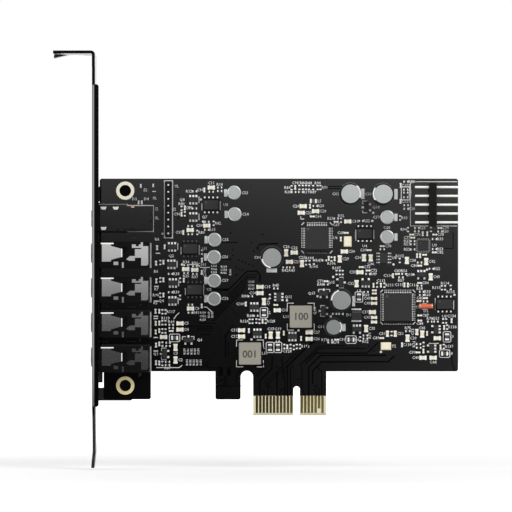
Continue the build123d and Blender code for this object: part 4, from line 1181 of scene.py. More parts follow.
class CARD_OT_print(bpy.types.Operator):
    """Print the part outlines, marks and part numbers on the board"""

    bl_idname = "card.print"
    bl_label = "Print"
    bl_options = {"REGISTER", "UNDO"}

    def execute(self, context):
        finishes = palette(context)
        sizes = context.scene.card_sizes
        self.stamp = Stamp()
        self.lift = sizes.ink_lift / MM
        self.letter = sizes.letter / MM
        line = sizes.ink_line / MM
        outlines = [(points, False) for points in PRINT_LINES]
        outlines += self.header_outline() + self.bead_frames() + self.chip_corners() + self.inductor_corners()
        ribbons(self.stamp, outlines, line, self.lift)
        ribbons(self.stamp, self.jack_lines() + self.chip_lines(), line, self.lift, slot=1)
        frames = [(self.frame_points(*sides), True) for sides in PRINT_FRAMES] + [(PORT_OUTLINE, False)]
        ribbons(self.stamp, frames, FRAME_LINE, self.lift)
        ribbons(self.stamp, self.faint_lines(), line, self.lift, slot=2)
        for name in STRIPE_TURNS:
            self.can_ring(name)
        for x, z in PRINT_DOTS:
            self.stamp.add("dot", on_front(x, z), disc, DOT_RADIUS, self.lift)
        for x, z, width, height in [(*bar, BAR_WIDTH, BAR_HEIGHT) for bar in PRINT_BARS] + PRINT_PADS:
            place = on_front(x, z) @ Matrix.Diagonal((width, 1, height, 1))
            self.stamp.add("pad", place, block, (-0.5, -self.lift, -0.5), (0.5, 0, 0.5))
        self.loose_marks()
        self.part_numbers()
        inks = [finishes["ink"], finishes["letter"], finishes["faint"]]
        self.stamp.finish("board_print", inks, slot="jumper_body", flat=False)
        return {"FINISHED"}

    def loose_marks(self):
        """Part numbers whose places are given, and the jacks' own in faint ink."""
        for marks, height in ((PRINT_MARKS, self.letter), (BLOCK_MARKS, self.letter * BLOCK_LETTER)):
            for mark, x, z, turn in marks:
                letters(self.stamp, mark, x, z, height, self.lift, turn, slot=1)
        for number, node in enumerate(JACKS, start=FIRST_JACK_NUMBER):
            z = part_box(node)[0].z / MM - JACK_NUMBER_DROP
            letters(self.stamp, f"J{number}", JACK_NUMBER_X, z, self.letter, self.lift, slot=2)

    def frame_points(self, left, right, low, high, corner=0.0):
        """The corners of a printed frame, cut off where a corner size is given."""
        if not corner:
            return [(left, low), (right, low), (right, high), (left, high)]
        return [
            (left + corner, low), (right - corner, low), (right, low + corner), (right, high - corner),
            (right - corner, high), (left + corner, high), (left, high - corner), (left, low + corner)]

    def header_outline(self):
        """Outline of the right-angle header, open at the board's edge."""
        low, high = node_box("pin_header_body")
        left = HEADER_FRAME_LEFT
        right = BOARD_RIGHT - HEADER_FRAME_EDGE
        top = high.z + HEADER_FRAME_TOP
        bottom = low.z + HEADER_FRAME_FOOT
        return [([(right, top), (left, top), (left, bottom), (right, bottom)], False)]

    def bead_frames(self):
        """A rounded frame round each lower ferrite bead."""
        gap = BEAD_FRAME_GAP
        return [
            (self.frame_points(low.x - gap, high.x + gap, low.z - gap, high.z + gap, BEAD_FRAME_CORNER), True)
            for low, high in islands("ferrite_beads") if low.z < BEAD_FRAME_TOP]

    def chip_corners(self):
        """A short slanting mark at each corner of the two square chips."""
        lines = []
        for node, leg in CHIP_CORNER_LEGS.items():
            low, high = node_box(node)
            for x, side in ((low.x, -1), (high.x, 1)):
                for z, way in ((low.z, -1), (high.z, 1)):
                    outer = (x + side * leg, z + way * CHIP_CORNER)
                    lines.append(([outer, (x + side * CHIP_CORNER, z + way * leg)], False))
        return lines

    def inductor_corners(self):
        """Four corner brackets round each power inductor."""
        gap, leg = INDUCTOR_CORNER_GAP, INDUCTOR_CORNER_LEG
        lines = []
        for low, high in islands("power_inductors"):
            for x, inward in ((low.x - gap, leg), (high.x + gap, -leg)):
                for z, upward in ((low.z - gap, leg), (high.z + gap, -leg)):
                    lines.append(([(x + inward, z), (x, z), (x, z + upward)], False))
        return lines

    def jack_lines(self):
        """A thin printed line behind each jack."""
        lines = []
        for node in JACKS:
            low, high = node_box(node)
            x = high.x + JACK_LINE_GAP
            lines.append(([(x, high.z - JACK_LINE_TOP), (x, low.z + JACK_LINE_FOOT)], False))
        return lines

    def faint_lines(self):
        """Dim printed lines between the jacks."""
        lines = []
        for node in JACKS:
            z = node_box(node)[1].z + FAINT_LINE_GAP
            lines += [([(left, z), (right, z)], False) for left, right in FAINT_LINES]
        return lines

    def chip_lines(self):
        """Upright lines beside the amplifiers and the six-legged regulators near the jacks."""
        gap = CHIP_LINE_GAP
        lines = []
        for low, high in islands("amplifier_chips"):
            foot = low.z + CHIP_LINE_FOOT
            lines.append(([(high.x + gap, foot), (high.x + gap, high.z - CHIP_LINE_RIGHT)], False))
            lines.append(([(low.x - gap, foot), (low.x - gap, high.z - CHIP_LINE_LEFT)], False))
        right, bottom = LINED_REGULATORS
        for low, high in islands("regulator_chips"):
            if high.x - low.x > high.z - low.z and low.x < right and low.z > bottom:
                lines.append(([(high.x + gap, low.z - gap), (high.x + gap, high.z + gap)], False))
        return lines

    def can_ring(self, name):
        """A thin printed ring round a capacitor."""
        low, high = node_box(name)
        middle = (low + high) / 2
        radius = (high.x - low.x) / 2 + CAN_RING_GAP
        turns = [math.tau * step / RING_STEPS for step in range(RING_STEPS)]
        ring = [(middle.x + radius * math.cos(turn), middle.z + radius * math.sin(turn)) for turn in turns]
        ribbons(self.stamp, [(ring, True)], CAN_RING_LINE, self.lift, slot=2)

    def room(self, low, high, gap):
        """A part's left, right, low and high sides, with room round them."""
        return low.x - gap, high.x + gap, low.z - gap, high.z + gap

    def centred(self, x, z, width, height):
        """Left, right, low and high sides of a box round a place."""
        return x - width / 2, x + width / 2, z - height / 2, z + height / 2

    def part_numbers(self):
        """Number every part by its kind, where there is room beside it."""
        taken = []
        numbered = []
        for kind, nodes in (
            ("C", ["ceramic_capacitors", "slim_ceramics"]), ("L", ["ferrite_beads", "power_inductors"]),
            ("U", ["amplifier_chips", "codec_chip", "controller_chip", "converter_chip", "receiver_chip"]),
            ("Q", ["regulator_chips"]), ("Y", ["crystals"]), ("D", ["power_diode_body", "glass_diode"]),
            ("R", ["jumper_chips"]), ("C", CANS), ("J", ["pin_header_body", "slim_header_body"]),
        ):
            for node in nodes:
                gap = LEAD_ROOM if node.endswith(("_chip", "_chips")) else PART_ROOM
                numbered += [(kind, self.room(low, high, gap)) for low, high in islands(node)]
        taken += [box for kind, box in numbered]
        for node in JACKS + ["optical_port_housing", "pin_header_pins", "threaded_barrels", "edge_contacts"]:
            taken += [self.room(low, high, PLAIN_ROOM) for low, high in islands(node)]
        taken += [self.centred(*pad) for pad in PRINT_PADS]
        for kind, places, width, height in (
            ("C", SMALL_CERAMICS_ALONG, SMALL_LENGTH, SMALL_WIDTH),
            ("C", SMALL_CERAMICS_UPRIGHT, SMALL_WIDTH, SMALL_LENGTH),
            ("R", SMALL_RESISTORS_ALONG, SMALL_LENGTH, SMALL_WIDTH),
            ("R", SMALL_RESISTORS_UPRIGHT, SMALL_WIDTH, SMALL_LENGTH),
        ):
            boxes = [self.centred(x, z, width, height) for x, z in places]
            taken += boxes
            numbered += [(kind, box) for box in boxes]
        counts = {}
        for kind, box in numbered:
            counts[kind] = counts.get(kind, 0) + 1
            self.number_beside(f"{kind}{counts[kind]}", box, taken)

    def number_beside(self, text, box, taken):
        """Print a part number on the first free side of a part, turned where only that fits."""
        left, right, low, high = box
        height = self.letter
        width = LETTER_WIDTH * height * len(text)
        middle_x = (left + right) / 2
        middle_z = (low + high) / 2
        for x, z, turn in (
            (right + NUMBER_GAP + width / 2, middle_z, 0), (left - NUMBER_GAP - width / 2, middle_z, 0),
            (middle_x, high + NUMBER_GAP + height / 2, 0), (middle_x, low - NUMBER_GAP - height / 2, 0),
            (right + NUMBER_GAP + height / 2, middle_z, 90), (left - NUMBER_GAP - height / 2, middle_z, 90),
        ):
            label = self.centred(x, z, height, width) if turn else self.centred(x, z, width, height)
            if self.on_field(label) and not any(self.cross(label, other) for other in taken):
                taken.append(label)
                letters(self.stamp, text, x, z, height, self.lift, turn, slot=1)
                return

    def on_field(self, label):
        """Whether a part number lies on the part of the board that is printed."""
        left, right, low, high = NUMBER_FIELD
        return label[0] > left and label[1] < right and label[2] > low and label[3] < high

    def cross(self, first, second):
        """Whether two boxes on the board overlap."""
        return first[0] < second[1] and second[0] < first[1] and first[2] < second[3] and second[2] < first[3]


class CARD_OT_contacts(bpy.types.Operator):
    """Plate the contacts of the edge connector"""

    bl_idname = "card.contacts"
    bl_label = "Edge contacts"
    bl_options = {"REGISTER", "UNDO"}

    def execute(self, context):
        dress("edge_contacts", palette(context)["gold"], "gold_plate", segments=1)
        return {"FINISHED"}


class CARD_OT_jacks(bpy.types.Operator):
    """Finish the audio jacks and the optical port"""

    bl_idname = "card.jacks"
    bl_label = "Jacks and port"
    bl_options = {"REGISTER", "UNDO"}

    def execute(self, context):
        finishes = palette(context)
        edge_round = context.scene.card_sizes.edge_round / MM
        for number, node in enumerate(JACKS, start=1):
            dress(node, finishes["moulding"], "black_moulding", width=edge_round)
            self.sleeve(f"jack_{number}_sleeve_contact", finishes["contact"])
            dress(f"jack_{number}_spring_contacts", finishes["contact"], "tinned_metal", width=0)
        dress("optical_port_housing", finishes["port"], "black_moulding", width=edge_round)
        stamp = Stamp()
        for low, high in islands("optical_port_tabs"):
            stamp.join(self.tab(low, high))
        stamp.finish("optical_port_tabs_dressed", [finishes["cap"]], "optical_port_tabs", slot="tinned_metal")
        self.notch_shades(finishes)
        return {"FINISHED"}

    def notch_shades(self, finishes):
        """Dark patches along the port's edges, painted shade for its notches, and the end of a contact at its
        top.
        """
        stamp = Stamp()
        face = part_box("optical_port_housing")[0].y / MM
        for x, z, width, height, slot in PORT_NOTCH_SHADES:
            low = (x - width / 2, face - NOTCH_SHADE_LIFT, z - height / 2)
            high = (x + width / 2, face + NOTCH_SHADE_DEPTH, z + height / 2)
            stamp.join(block(low, high, slot=slot))
        stamp.finish("optical_port_latches", [finishes["flank"], finishes["amber"]], slot="black_moulding")

    def tab(self, low, high):
        """A solder tab that narrows towards its lower end."""
        bm = block(low, high)
        middle = (low + high) / 2
        for vertex in bm.verts:
            if vertex.co.z < middle.z:
                vertex.co.x = middle.x + (vertex.co.x - middle.x) * TAB_TAPER
        round_edges(bm, bm.edges[:], TAB_ROUND, 1)
        return bm

    def sleeve(self, node, material):
        """A sleeve contact, rolled over at its top bar and at the leaf that dips into the housing."""
        bm = flat_faced(node)
        low, high = extent(bm.verts)
        rolled = [edge for edge in bm.edges if self.lies(edge, 2, high.z, low.y)]
        leaf = [edge for edge in bm.edges if self.lies(edge, 0, high.x, low.y)]
        round_edges(bm, rolled, TOP_ROLL, ROLL_STEPS)
        round_edges(bm, leaf, LEAF_ROLL, ROLL_STEPS)
        finish_piece(f"{node}_dressed", bm, [material], node, slot="tinned_metal")

    def lies(self, edge, axis, place, front):
        """Whether an edge lies at a place along an axis, on the side that faces the viewer."""
        return all(
            abs(vertex.co[axis] - place) < ON_EDGE and abs(vertex.co.y - front) < ON_EDGE
            for vertex in edge.verts)


class CARD_OT_headers(bpy.types.Operator):
    """Finish both pin headers"""

    bl_idname = "card.headers"
    bl_label = "Headers"
    bl_options = {"REGISTER", "UNDO"}

    def execute(self, context):
        finishes = palette(context)
        for header in ("pin_header", "slim_header"):
            dress(f"{header}_body", finishes["header"], "black_moulding")
            dress(f"{header}_pins", finishes["pin"], "tinned_metal")
        return {"FINISHED"}


class CARD_OT_capacitors(bpy.types.Operator):
    """Turn the electrolytic capacitors: sleeve, rolled rim, crimp groove and bare top"""

    bl_idname = "card.capacitors"
    bl_label = "Capacitors"
    bl_options = {"REGISTER", "UNDO"}

    def execute(self, context):
        finishes = palette(context)
        for name in CANS:
            low, high = node_box(name)
            middle = (low + high) / 2
            turn = STRIPE_TURNS.get(name)
            outside = finishes["rim"] if turn is None else finishes["sleeve"]
            stamp = Stamp()
            place = on_front(middle.x, middle.z)
            stamp.add("can", place, self.can, (high.x - low.x) / 2, high.y - low.y, turn)
            materials = [outside, finishes["can"], finishes["stripe"]]
            stamp.finish(f"{name}_dressed", materials, name, slot="capacitor_can", flat=False)
        return {"FINISHED"}

    def can(self, radius, height, turn):
        """One can: bare, or in a sleeve with a stripe at a turn, with a rolled rim round its top."""
        bare = turn is None
        rim = BARE_RIM if bare else SLEEVE_RIM * radius
        top = height - (BARE_SINK if bare else SLEEVE_SINK)
        bright = radius - rim * (BARE_BRIGHT if bare else SLEEVE_BRIGHT)
        profile = [
            (0, 0.12), (radius - 0.35, 0.12), (radius - 0.08, 0.2), (radius, 0.45), (radius, 1.0),
            (radius - 0.16, 1.2), (radius - 0.16, 1.45), (radius, 1.65), (radius, height - 0.24),
            (radius - 0.08, height - 0.08), (radius - 0.24, height), (bright, height - 0.02),
            (radius - rim - 0.02, height - 0.06), (radius - rim - 0.05, top), (radius - rim - 0.25, top),
            (0, top)]
        bm = lathe(profile, CAN_STEPS)
        for face in bm.faces:
            point = face.calc_center_median()
            away = math.hypot(point.x, point.z)
            if -point.y > height - 0.16 and away < radius - rim:
                face.material_index = 1
            elif not bare and self.on_stripe(point, turn) and away < bright - 0.01:
                face.material_index = 2
        return bm

    def on_stripe(self, point, turn):
        """Whether a point lies within the stripe's angle."""
        swing = (math.atan2(point.z, point.x) - math.radians(turn) + math.pi) % math.tau - math.pi
        return abs(swing) < STRIPE_HALF


class CARD_OT_chips(bpy.types.Operator):
    """Mould the chips and bend their leads"""

    bl_idname = "card.chips"
    bl_label = "Chips"
    bl_options = {"REGISTER", "UNDO"}

    def execute(self, context):
        finishes = palette(context)
        materials = [finishes["chip"], finishes["dimple"], finishes["flank"]]
        for bodies, leads in (
            ("codec_chip", "codec_leads"), ("controller_chip", "controller_leads"),
            ("amplifier_chips", "amplifier_leads"), ("converter_chip", "converter_leads"),
            ("regulator_chips", "regulator_leads"), ("receiver_chip", None),
        ):
            boxes = islands(bodies)
            draught = AMPLIFIER_DRAUGHT if bodies == "amplifier_chips" else CHIP_DRAUGHT
            stamp = Stamp()
            for low, high in boxes:
                self.body(stamp, low, high, draught)
            stamp.finish(f"{bodies}_dressed", materials, bodies, slot="chip_moulding")
            if leads:
                self.leads(leads, boxes, [finishes[name] for name in LEAD_FINISHES[leads]])
            else:
                self.pads(*boxes[0], finishes["fine_lead"])
        return {"FINISHED"}

    def body(self, stamp, low, high, draught):
        """A moulded body with draught above and below its parting line, and a first-pin dimple."""
        bm = block(low, high)
        centre = (low + high) / 2
        bmesh.ops.bisect_plane(
            bm, geom=bm.verts[:] + bm.edges[:] + bm.faces[:], plane_co=(0, centre.y, 0), plane_no=(0, 1, 0))
        for vertex in bm.verts:
            if abs(vertex.co.y - centre.y) > ON_EDGE:
                vertex.co.x -= math.copysign(draught[0], vertex.co.x - centre.x)
                vertex.co.z -= math.copysign(draught[1], vertex.co.z - centre.z)
        # Faces other than the top take a darker copy of the chip finish, as painted shade
        for face in bm.faces:
            face.material_index = 0 if face.normal.y < TOP_LEAN else 2
        sharp = [edge for edge in bm.edges if edge.calc_face_angle(0) > CHIP_SHARP]
        round_edges(bm, sharp, CHIP_ROUND, 1)
        bmesh.ops.dissolve_degenerate(bm, dist=TURNED_MERGE, edges=bm.edges)
        stamp.join(bm)
        spread = min(high.x - low.x, high.z - low.z)
        if spread > DIMPLE_CHIP:
            radius = min(DIMPLE_RADIUS, spread * DIMPLE_SHARE)
            inset = radius + DIMPLE_INSET
            place = Matrix.Translation((low.x + inset + draught[0], low.y, high.z - inset - draught[1]))
            stamp.add(
                f"dimple{radius:.2f}", place, disc, radius, DIMPLE_THICKNESS, steps=DIMPLE_STEPS,
                lift=-DIMPLE_SINK, slot=1)

    def pads(self, low, high, material):
        """Tinned pads round the leadless chip, in a darker lead finish that is painted shade."""
        stamp = Stamp()
        middle = (low + high) / 2
        out = (high.x - low.x) / 2 + PAD_REACH
        length, width = PAD_HALF
        for turn in (0, 90, 180, 270):
            around = on_front(middle.x, middle.z, turn=-turn)
            for number in range(PAD_COUNT):
                step = Matrix.Translation((out, 0, (number - PAD_COUNT // 2) * PAD_PITCH))
                stamp.add("pad", around @ step, block, (-length, -PAD_HEIGHT, -width), (length, 0, width))
        stamp.finish("receiver_pads", [material], slot="tinned_metal")

    def leads(self, node, bodies, materials):
        """Bent leads in the places of a node's plain ones, each led out of the nearest body."""
        regulator = node == "regulator_leads"
        stamp = Stamp()
        for low, high in islands(node):
            middle = (low + high) / 2
            size = high - low
            offsets = [middle - (body_low + body_high) / 2 for body_low, body_high in bodies]
            away = min(offsets, key=attrgetter("length"))
            if size.x > size.z:
                turn = 0 if away.x > 0 else 180
                length, width = size.x, size.z
                place = on_front(low.x if away.x > 0 else high.x, middle.z, turn=turn)
            else:
                turn = 90 if away.z > 0 else -90
                length, width = size.z, size.x
                place = on_front(middle.x, low.z if away.z > 0 else high.z, turn=turn)
            if regulator:
                width *= REGULATOR_LEAD_WIDTH
            shaded = turn == -90
            if node == "amplifier_leads":
                shaded = middle.x < AMPLIFIER_SHADE[0] and middle.z < AMPLIFIER_SHADE[1]
            name, first = ("shaded_lead", 3) if shaded else ("lead", 0)
            bend = REGULATOR_BEND if regulator else LEAD_BEND
            stamp.add(name, place @ Matrix.Diagonal((length, size.y, width, 1)), self.lead, first, *bend)
        stamp.finish(f"{node}_dressed", materials, node, slot="tinned_metal")

    def lead(self, first, shoulder, heel):
        """A gull-wing lead of unit length, height and width, from the body out to its toe."""
        bm = bmesh.new()
        outline = [
            (-0.03, 1.0), (shoulder, 1.0), (shoulder + 0.08, 0.9), (heel - 0.08, 0.3), (heel, 0.2),
            (1.0, 0.2), (1.0, 0.0), (heel - 0.06, 0.0), (heel - 0.16, 0.1), (shoulder + 0.02, 0.68),
            (shoulder - 0.06, 0.8), (-0.03, 0.8)]
        bm.faces.new([bm.verts.new((along, -up, -0.5)) for along, up in outline])
        thicken(bm, (0, 0, 1))
        for face in bm.faces:
            along = face.calc_center_median().x
            face.material_index = first + (0 if along < shoulder + 0.01 else 1 if along < heel - 0.02 else 2)
        return bm


class CARD_OT_two_ended(bpy.types.Operator):
    """Make the ceramic capacitors, beads, jumpers, crystals and smallest chips with their tinned ends"""

    bl_idname = "card.two_ended"
    bl_label = "Two-ended parts"
    bl_options = {"REGISTER", "UNDO"}

    def execute(self, context):
        finishes = palette(context)
        for node, body, slot in (
            ("ceramic_capacitors", "ceramic", "ceramic"), ("slim_ceramics", "cream", "ceramic"),
            ("ferrite_beads", "ferrite", "ferrite"), ("jumper_chips", "jumper", "jumper_body"),
        ):
            stamp = Stamp()
            for low, high in islands(node):
                self.chip(stamp, low, high)
            stamp.finish(f"{node}_dressed", [finishes[body], finishes["cap"]], node, slot=slot)
        self.crystals(finishes)
        rows = ((SMALL_CERAMICS_ALONG, 0), (SMALL_CERAMICS_UPRIGHT, 90))
        materials = [finishes["cream"], finishes["cap"]]
        self.small_chips("small_ceramics", rows, SMALL_CERAMIC, materials, "ceramic")
        rows = ((SMALL_RESISTORS_ALONG, 0), (SMALL_RESISTORS_UPRIGHT, 90))
        materials = [finishes["resistor"], finishes["cap"]]
        self.small_chips("small_resistors", rows, SMALL_RESISTOR, materials, "ferrite")
        return {"FINISHED"}

    def chip(self, stamp, low, high):
        """A chip with a tinned cap over each end of its longer side."""
        size = high - low
        axis = 0 if size.x > size.z else 2
        other = 2 - axis
        cap = size[axis] * CAP_SHARE
        body_low, body_high = low.copy(), high.copy()
        body_low[axis] += cap * CAP_SEEN
        body_high[axis] -= cap * CAP_SEEN
        body_low.y += BODY_DROP
        body_low[other] += BODY_INSET
        body_high[other] -= BODY_INSET
        stamp.join(block(body_low, body_high, BODY_ROUND))
        first_high, last_low = high.copy(), low.copy()
        first_high[axis] = low[axis] + cap
        last_low[axis] = high[axis] - cap
        stamp.join(block(low, first_high, CAP_ROUND, slot=1))
        stamp.join(block(last_low, high, CAP_ROUND, slot=1))

    def small_chips(self, name, rows, size, materials, slot):
        """Like chips of the smallest size, stamped from one: each row gives their places and their turn."""
        stamp = Stamp()
        for places, turn in rows:
            for x, z in places:
                stamp.add(name, on_front(x, z, turn=turn), self.small_chip, *size)
        stamp.finish(name, materials, slot=slot)

    def small_chip(self, length, height, width):
        """A chip of the smallest size, lying along the board."""
        end, side = length / 2, width / 2
        inner = end - SMALL_CAP * SMALL_CAP_SEEN
        chip = Stamp()
        body_side = side - SMALL_BODY_INSET
        chip.join(block((-inner, -height + SMALL_BODY_DROP, -body_side), (inner, 0, body_side)))
        chip.join(block((-end, -height, -side), (-end + SMALL_CAP, 0, side), SMALL_CAP_ROUND, slot=1))
        chip.join(block((end - SMALL_CAP, -height, -side), (end, 0, side), SMALL_CAP_ROUND, slot=1))
        return chip.bm

    def crystals(self, finishes):
        """Crystals: a pale metal lid on a ceramic base."""
        stamp = Stamp()
        seam = CRYSTAL_SEAM
        for low, high in islands("crystals"):
            parting = high.y - CRYSTAL_BASE
            stamp.join(block((low.x, parting, low.z), high, CRYSTAL_BASE_ROUND, slot=1))
            lid_low = low + Vector((seam, 0, seam))
            lid_high = Vector((high.x - seam, parting, high.z - seam))
            stamp.join(block(lid_low, lid_high, CRYSTAL_LID_ROUND, segments=3))
        stamp.finish("crystals_dressed", [finishes["lid"], finishes["cream"]], "crystals", slot="crystal_lid")


class CARD_OT_inductors(bpy.types.Operator):
    """Make the power inductors: a moulded case over two folded terminals, with a value on top"""

    bl_idname = "card.inductors"
    bl_label = "Inductors"
    bl_options = {"REGISTER", "UNDO"}

    def execute(self, context):
        finishes = palette(context)
        lift = context.scene.card_sizes.ink_lift / MM
        stamp = Stamp()
        for (low, high), turn in zip(islands("power_inductors"), VALUE_TURNS):
            centre = (low + high) / 2
            half = (high.x - low.x) / 2
            stamp.join(self.case(low, high))
            for side in (-1, 1):
                edge = centre.x + side * half
                inner = edge - side * TERMINAL_SHEET
                foot = (min(edge, inner), high.y - TERMINAL_HEIGHT, centre.z - TERMINAL_HALF)
                head = (max(edge, inner), high.y, centre.z + TERMINAL_HALF)
                stamp.join(block(foot, head, TERMINAL_ROUND, slot=2))
            letters(
                stamp, "100", centre.x, centre.z, VALUE_HEIGHT, lift, turn, slot=1, level=high.y - low.y,
                bold=VALUE_BOLD, smooth=4)
        materials = [finishes["inductor"], finishes["figure"], finishes["tin"]]
        stamp.finish("power_inductors_dressed", materials, "power_inductors", slot="inductor_case")
        return {"FINISHED"}

    def case(self, low, high):
        """The case, with rounded corners and a softened top."""
        bm = block(low, high)
        corners = [edge for edge in bm.edges if abs((edge.verts[0].co - edge.verts[1].co).y) > CORNER_EDGE]
        round_edges(bm, corners, CASE_CORNER, 2)
        top = [face for face in bm.faces if face.normal.y < TOP_LEAN]
        round_edges(bm, [edge for face in top for edge in face.edges], CASE_TOP_ROUND, 3)
        return bm


class CARD_OT_diodes(bpy.types.Operator):
    """Finish the moulded power diode and the glass diode"""

    bl_idname = "card.diodes"
    bl_label = "Diodes"
    bl_options = {"REGISTER", "UNDO"}

    def execute(self, context):
        finishes = palette(context)
        stamp = Stamp()
        low, high = node_box("power_diode_body")
        stamp.join(block(low, high, DIODE_ROUND, segments=2))
        band_low = (low.x + DIODE_ROUND, low.y - BAND_LIFT, high.z - BAND_FROM_TOP[0])
        band_high = (high.x - DIODE_ROUND, low.y + BAND_DEPTH, high.z - BAND_FROM_TOP[1])
        stamp.join(block(band_low, band_high, slot=1))
        materials = [finishes["chip"], finishes["dimple"]]
        stamp.finish("power_diode_body_dressed", materials, "power_diode_body", slot="chip_moulding")
        dress("power_diode_straps", finishes["lead"], "tinned_metal")
        dress("glass_diode", finishes["glass"], "orange_glass", segments=1)
        dress("glass_diode_caps", finishes["amber"], "tinned_metal", segments=3)
        return {"FINISHED"}


class CARD_OT_solder_side(bpy.types.Operator):
    """Solder the pins on the board's back"""

    bl_idname = "card.solder_side"
    bl_label = "Solder side"
    bl_options = {"REGISTER", "UNDO"}

    def execute(self, context):
        stamp = Stamp()
        for x, z in self.pins():
            stamp.add("joint", on_back(x, z), lathe, JOINT_PROFILE, JOINT_STEPS)
        solder = palette(context)["solder"]
        stamp.finish("solder_joints", [solder], slot="tinned_metal", smooth=JOINT_SMOOTH, flat=False)
        return {"FINISHED"}

    def pins(self):
        """Where pins come through: under the headers, the capacitors, the jacks and the port."""
        places = []
        for low, high in islands("slim_header_pins"):
            places.append(((low.x + high.x) / 2, (low.z + high.z) / 2))
        for low, high in islands("pin_header_pins"):
            places.append((low.x + HEADER_PIN_REACH, (low.z + high.z) / 2))
        for name in CANS:
            low, high = node_box(name)
            middle = (low + high) / 2
            spread = (high.x - low.x) * CAN_PIN_SPREAD
            places += [(middle.x - spread, middle.z), (middle.x + spread, middle.z)]
        for node in JACKS + ["optical_port_housing"]:
            low, high = node_box(node)
            for along, up in JACK_PINS:
                places.append((low.x + along, (low.z + high.z) / 2 + up * (high.z - low.z) / 2))
        return places


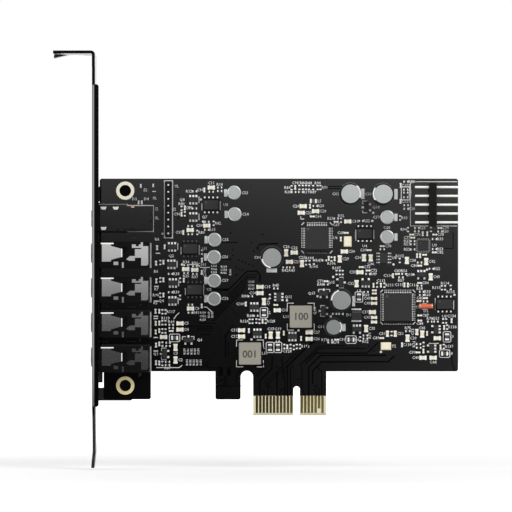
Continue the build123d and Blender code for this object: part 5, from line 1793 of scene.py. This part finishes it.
class CARD_OT_stage(bpy.types.Operator):
    """Set the floor, the lights, the camera and the white surroundings"""

    bl_idname = "card.stage"
    bl_label = "Stage"
    bl_options = {"REGISTER", "UNDO"}

    def execute(self, context):
        scene = context.scene
        studio = scene.card_studio
        self.floor(scene)
        self.world(scene, studio)
        self.lamp(scene, "key_light", *KEY_LAMP, studio.key_power)
        self.lamp(scene, "side_light", *SIDE_LAMP, studio.side_power)
        self.lamp(scene, "fill_light", *FILL_LAMP, studio.fill_power)
        self.lamp(scene, "back_light", *BACK_LAMP, studio.fill_power)
        self.camera(scene, studio)
        scene.view_settings.view_transform = "Standard"
        return {"FINISHED"}

    def floor(self, scene):
        """A pale floor that takes the card's shadow."""
        bm = bmesh.new()
        place = Matrix.Translation((0, FLOOR_BACK, CAD_BOX[0][2] - FLOOR_GAP))
        bmesh.ops.create_grid(bm, x_segments=1, y_segments=1, size=1.0, matrix=place)
        mesh = bpy.data.meshes.new("studio_floor")
        bm.to_mesh(mesh)
        bm.free()
        mesh.materials.append(made_once("floor_finish", floor_glow))
        floor = bpy.data.objects.new("studio_floor", mesh)
        scene.collection.objects.link(floor)

    def world(self, scene, studio):
        """White to the eye and in reflections, but dim in front of the card under a soft light."""
        world = bpy.data.worlds.new("studio_world")
        scene.world = world
        world.use_nodes = True
        finish = Finish(world.node_tree)
        background = world.node_tree.nodes["Background"]
        set_constants(background, {"Color": rgba((1, 1, 1))})
        direction = finish.node("ShaderNodeTexCoord", output="Generated")
        sideways, depth, upward = [finish.part(direction, axis) for axis in "XYZ"]
        front = (depth * -1.0).eased(*LENS_CONE)
        rise = upward.eased(*LENS_RISE, "LINEAR")
        right = sideways.eased(*LENS_RIGHT, "LINEAR")
        crest = upward.eased(*LENS_CREST, "LINEAR")
        over_lens = LENS_LEVEL + right * right * RIGHT_LEVEL + rise * rise * rise * rise * RISE_LEVEL
        over_lens += crest * CREST_LEVEL
        seen, mirrored, through = [finish.ray(kind) for kind in ("Camera", "Glossy", "Transmission")]
        reflected = 1.0 - front * (1.0 - over_lens)
        lit = (1.0 - seen.larger(mirrored).larger(through)) * studio.ambient
        finish.feed(background, "Strength", lit + seen + through + mirrored * reflected)

    def lamp(self, scene, name, place, size, power):
        """A soft square lamp that points at the middle of the card."""
        light = bpy.data.lights.new(name, "AREA")
        light.shape = "SQUARE"
        light.size = size
        light.energy = power
        lamp = bpy.data.objects.new(name, light)
        scene.collection.objects.link(lamp)
        aim = (Vector(CAD_BOX[0]) + Vector(CAD_BOX[1])) / 2 - Vector(place)
        lamp.matrix_world = Matrix.Translation(place) @ aim.to_track_quat("-Z", "Y").to_matrix().to_4x4()

    def camera(self, scene, studio):
        """A long lens square to the board."""
        lens = bpy.data.cameras.new("photo_camera")
        lens.sensor_fit = "HORIZONTAL"
        lens.angle = 2 * math.atan(studio.view_width / 2 / studio.distance)
        lens.clip_start = 0.01
        lens.clip_end = 20
        camera = bpy.data.objects.new("photo_camera", lens)
        camera.location = (studio.view_x, FRONT * MM - studio.distance, studio.view_z)
        camera.rotation_euler = (math.radians(90), 0, 0)
        scene.collection.objects.link(camera)
        scene.camera = camera


CARD_OPERATORS = [
    CARD_OT_bracket, CARD_OT_board, CARD_OT_print, CARD_OT_contacts, CARD_OT_jacks, CARD_OT_headers,
    CARD_OT_capacitors, CARD_OT_chips, CARD_OT_two_ended, CARD_OT_inductors, CARD_OT_diodes,
    CARD_OT_solder_side, CARD_OT_stage,
]


class CARD_PT_panel(bpy.types.Panel):
    """Buttons for each group of pieces, with their colours and sizes"""

    bl_idname = "CARD_PT_panel"
    bl_label = "Audio Card"
    bl_space_type = "VIEW_3D"
    bl_region_type = "UI"
    bl_category = "Audio Card"

    def draw(self, context):
        scene = context.scene
        for group in (scene.card_finishes, scene.card_sizes, scene.card_studio):
            box = self.layout.box()
            for name in group.__annotations__:
                box.prop(group, name)
        for operator in CARD_OPERATORS:
            self.layout.operator(operator.bl_idname)


CLASSES = [CardFinishes, CardSizes, StudioSettings, *CARD_OPERATORS, CARD_PT_panel]


def register():
    for cls in CLASSES:
        bpy.utils.register_class(cls)
    bpy.types.Scene.card_finishes = PointerProperty(
        name="Finishes", description="Colours of the card's finishes", type=CardFinishes)
    bpy.types.Scene.card_sizes = PointerProperty(
        name="Sizes", description="Sizes of the card's fine detail", type=CardSizes)
    bpy.types.Scene.card_studio = PointerProperty(
        name="Studio", description="Camera and light", type=StudioSettings)


def unregister():
    del bpy.types.Scene.card_studio
    del bpy.types.Scene.card_sizes
    del bpy.types.Scene.card_finishes
    for cls in reversed(CLASSES):
        bpy.utils.unregister_class(cls)


def main():
    register()
    bpy.ops.card.bracket()
    bpy.ops.card.board()
    bpy.ops.card.print()
    bpy.ops.card.contacts()
    bpy.ops.card.jacks()
    bpy.ops.card.headers()
    bpy.ops.card.capacitors()
    bpy.ops.card.chips()
    bpy.ops.card.two_ended()
    bpy.ops.card.inductors()
    bpy.ops.card.diodes()
    bpy.ops.card.solder_side()
    bpy.ops.card.stage()


if __name__ == "__main__":
    main()
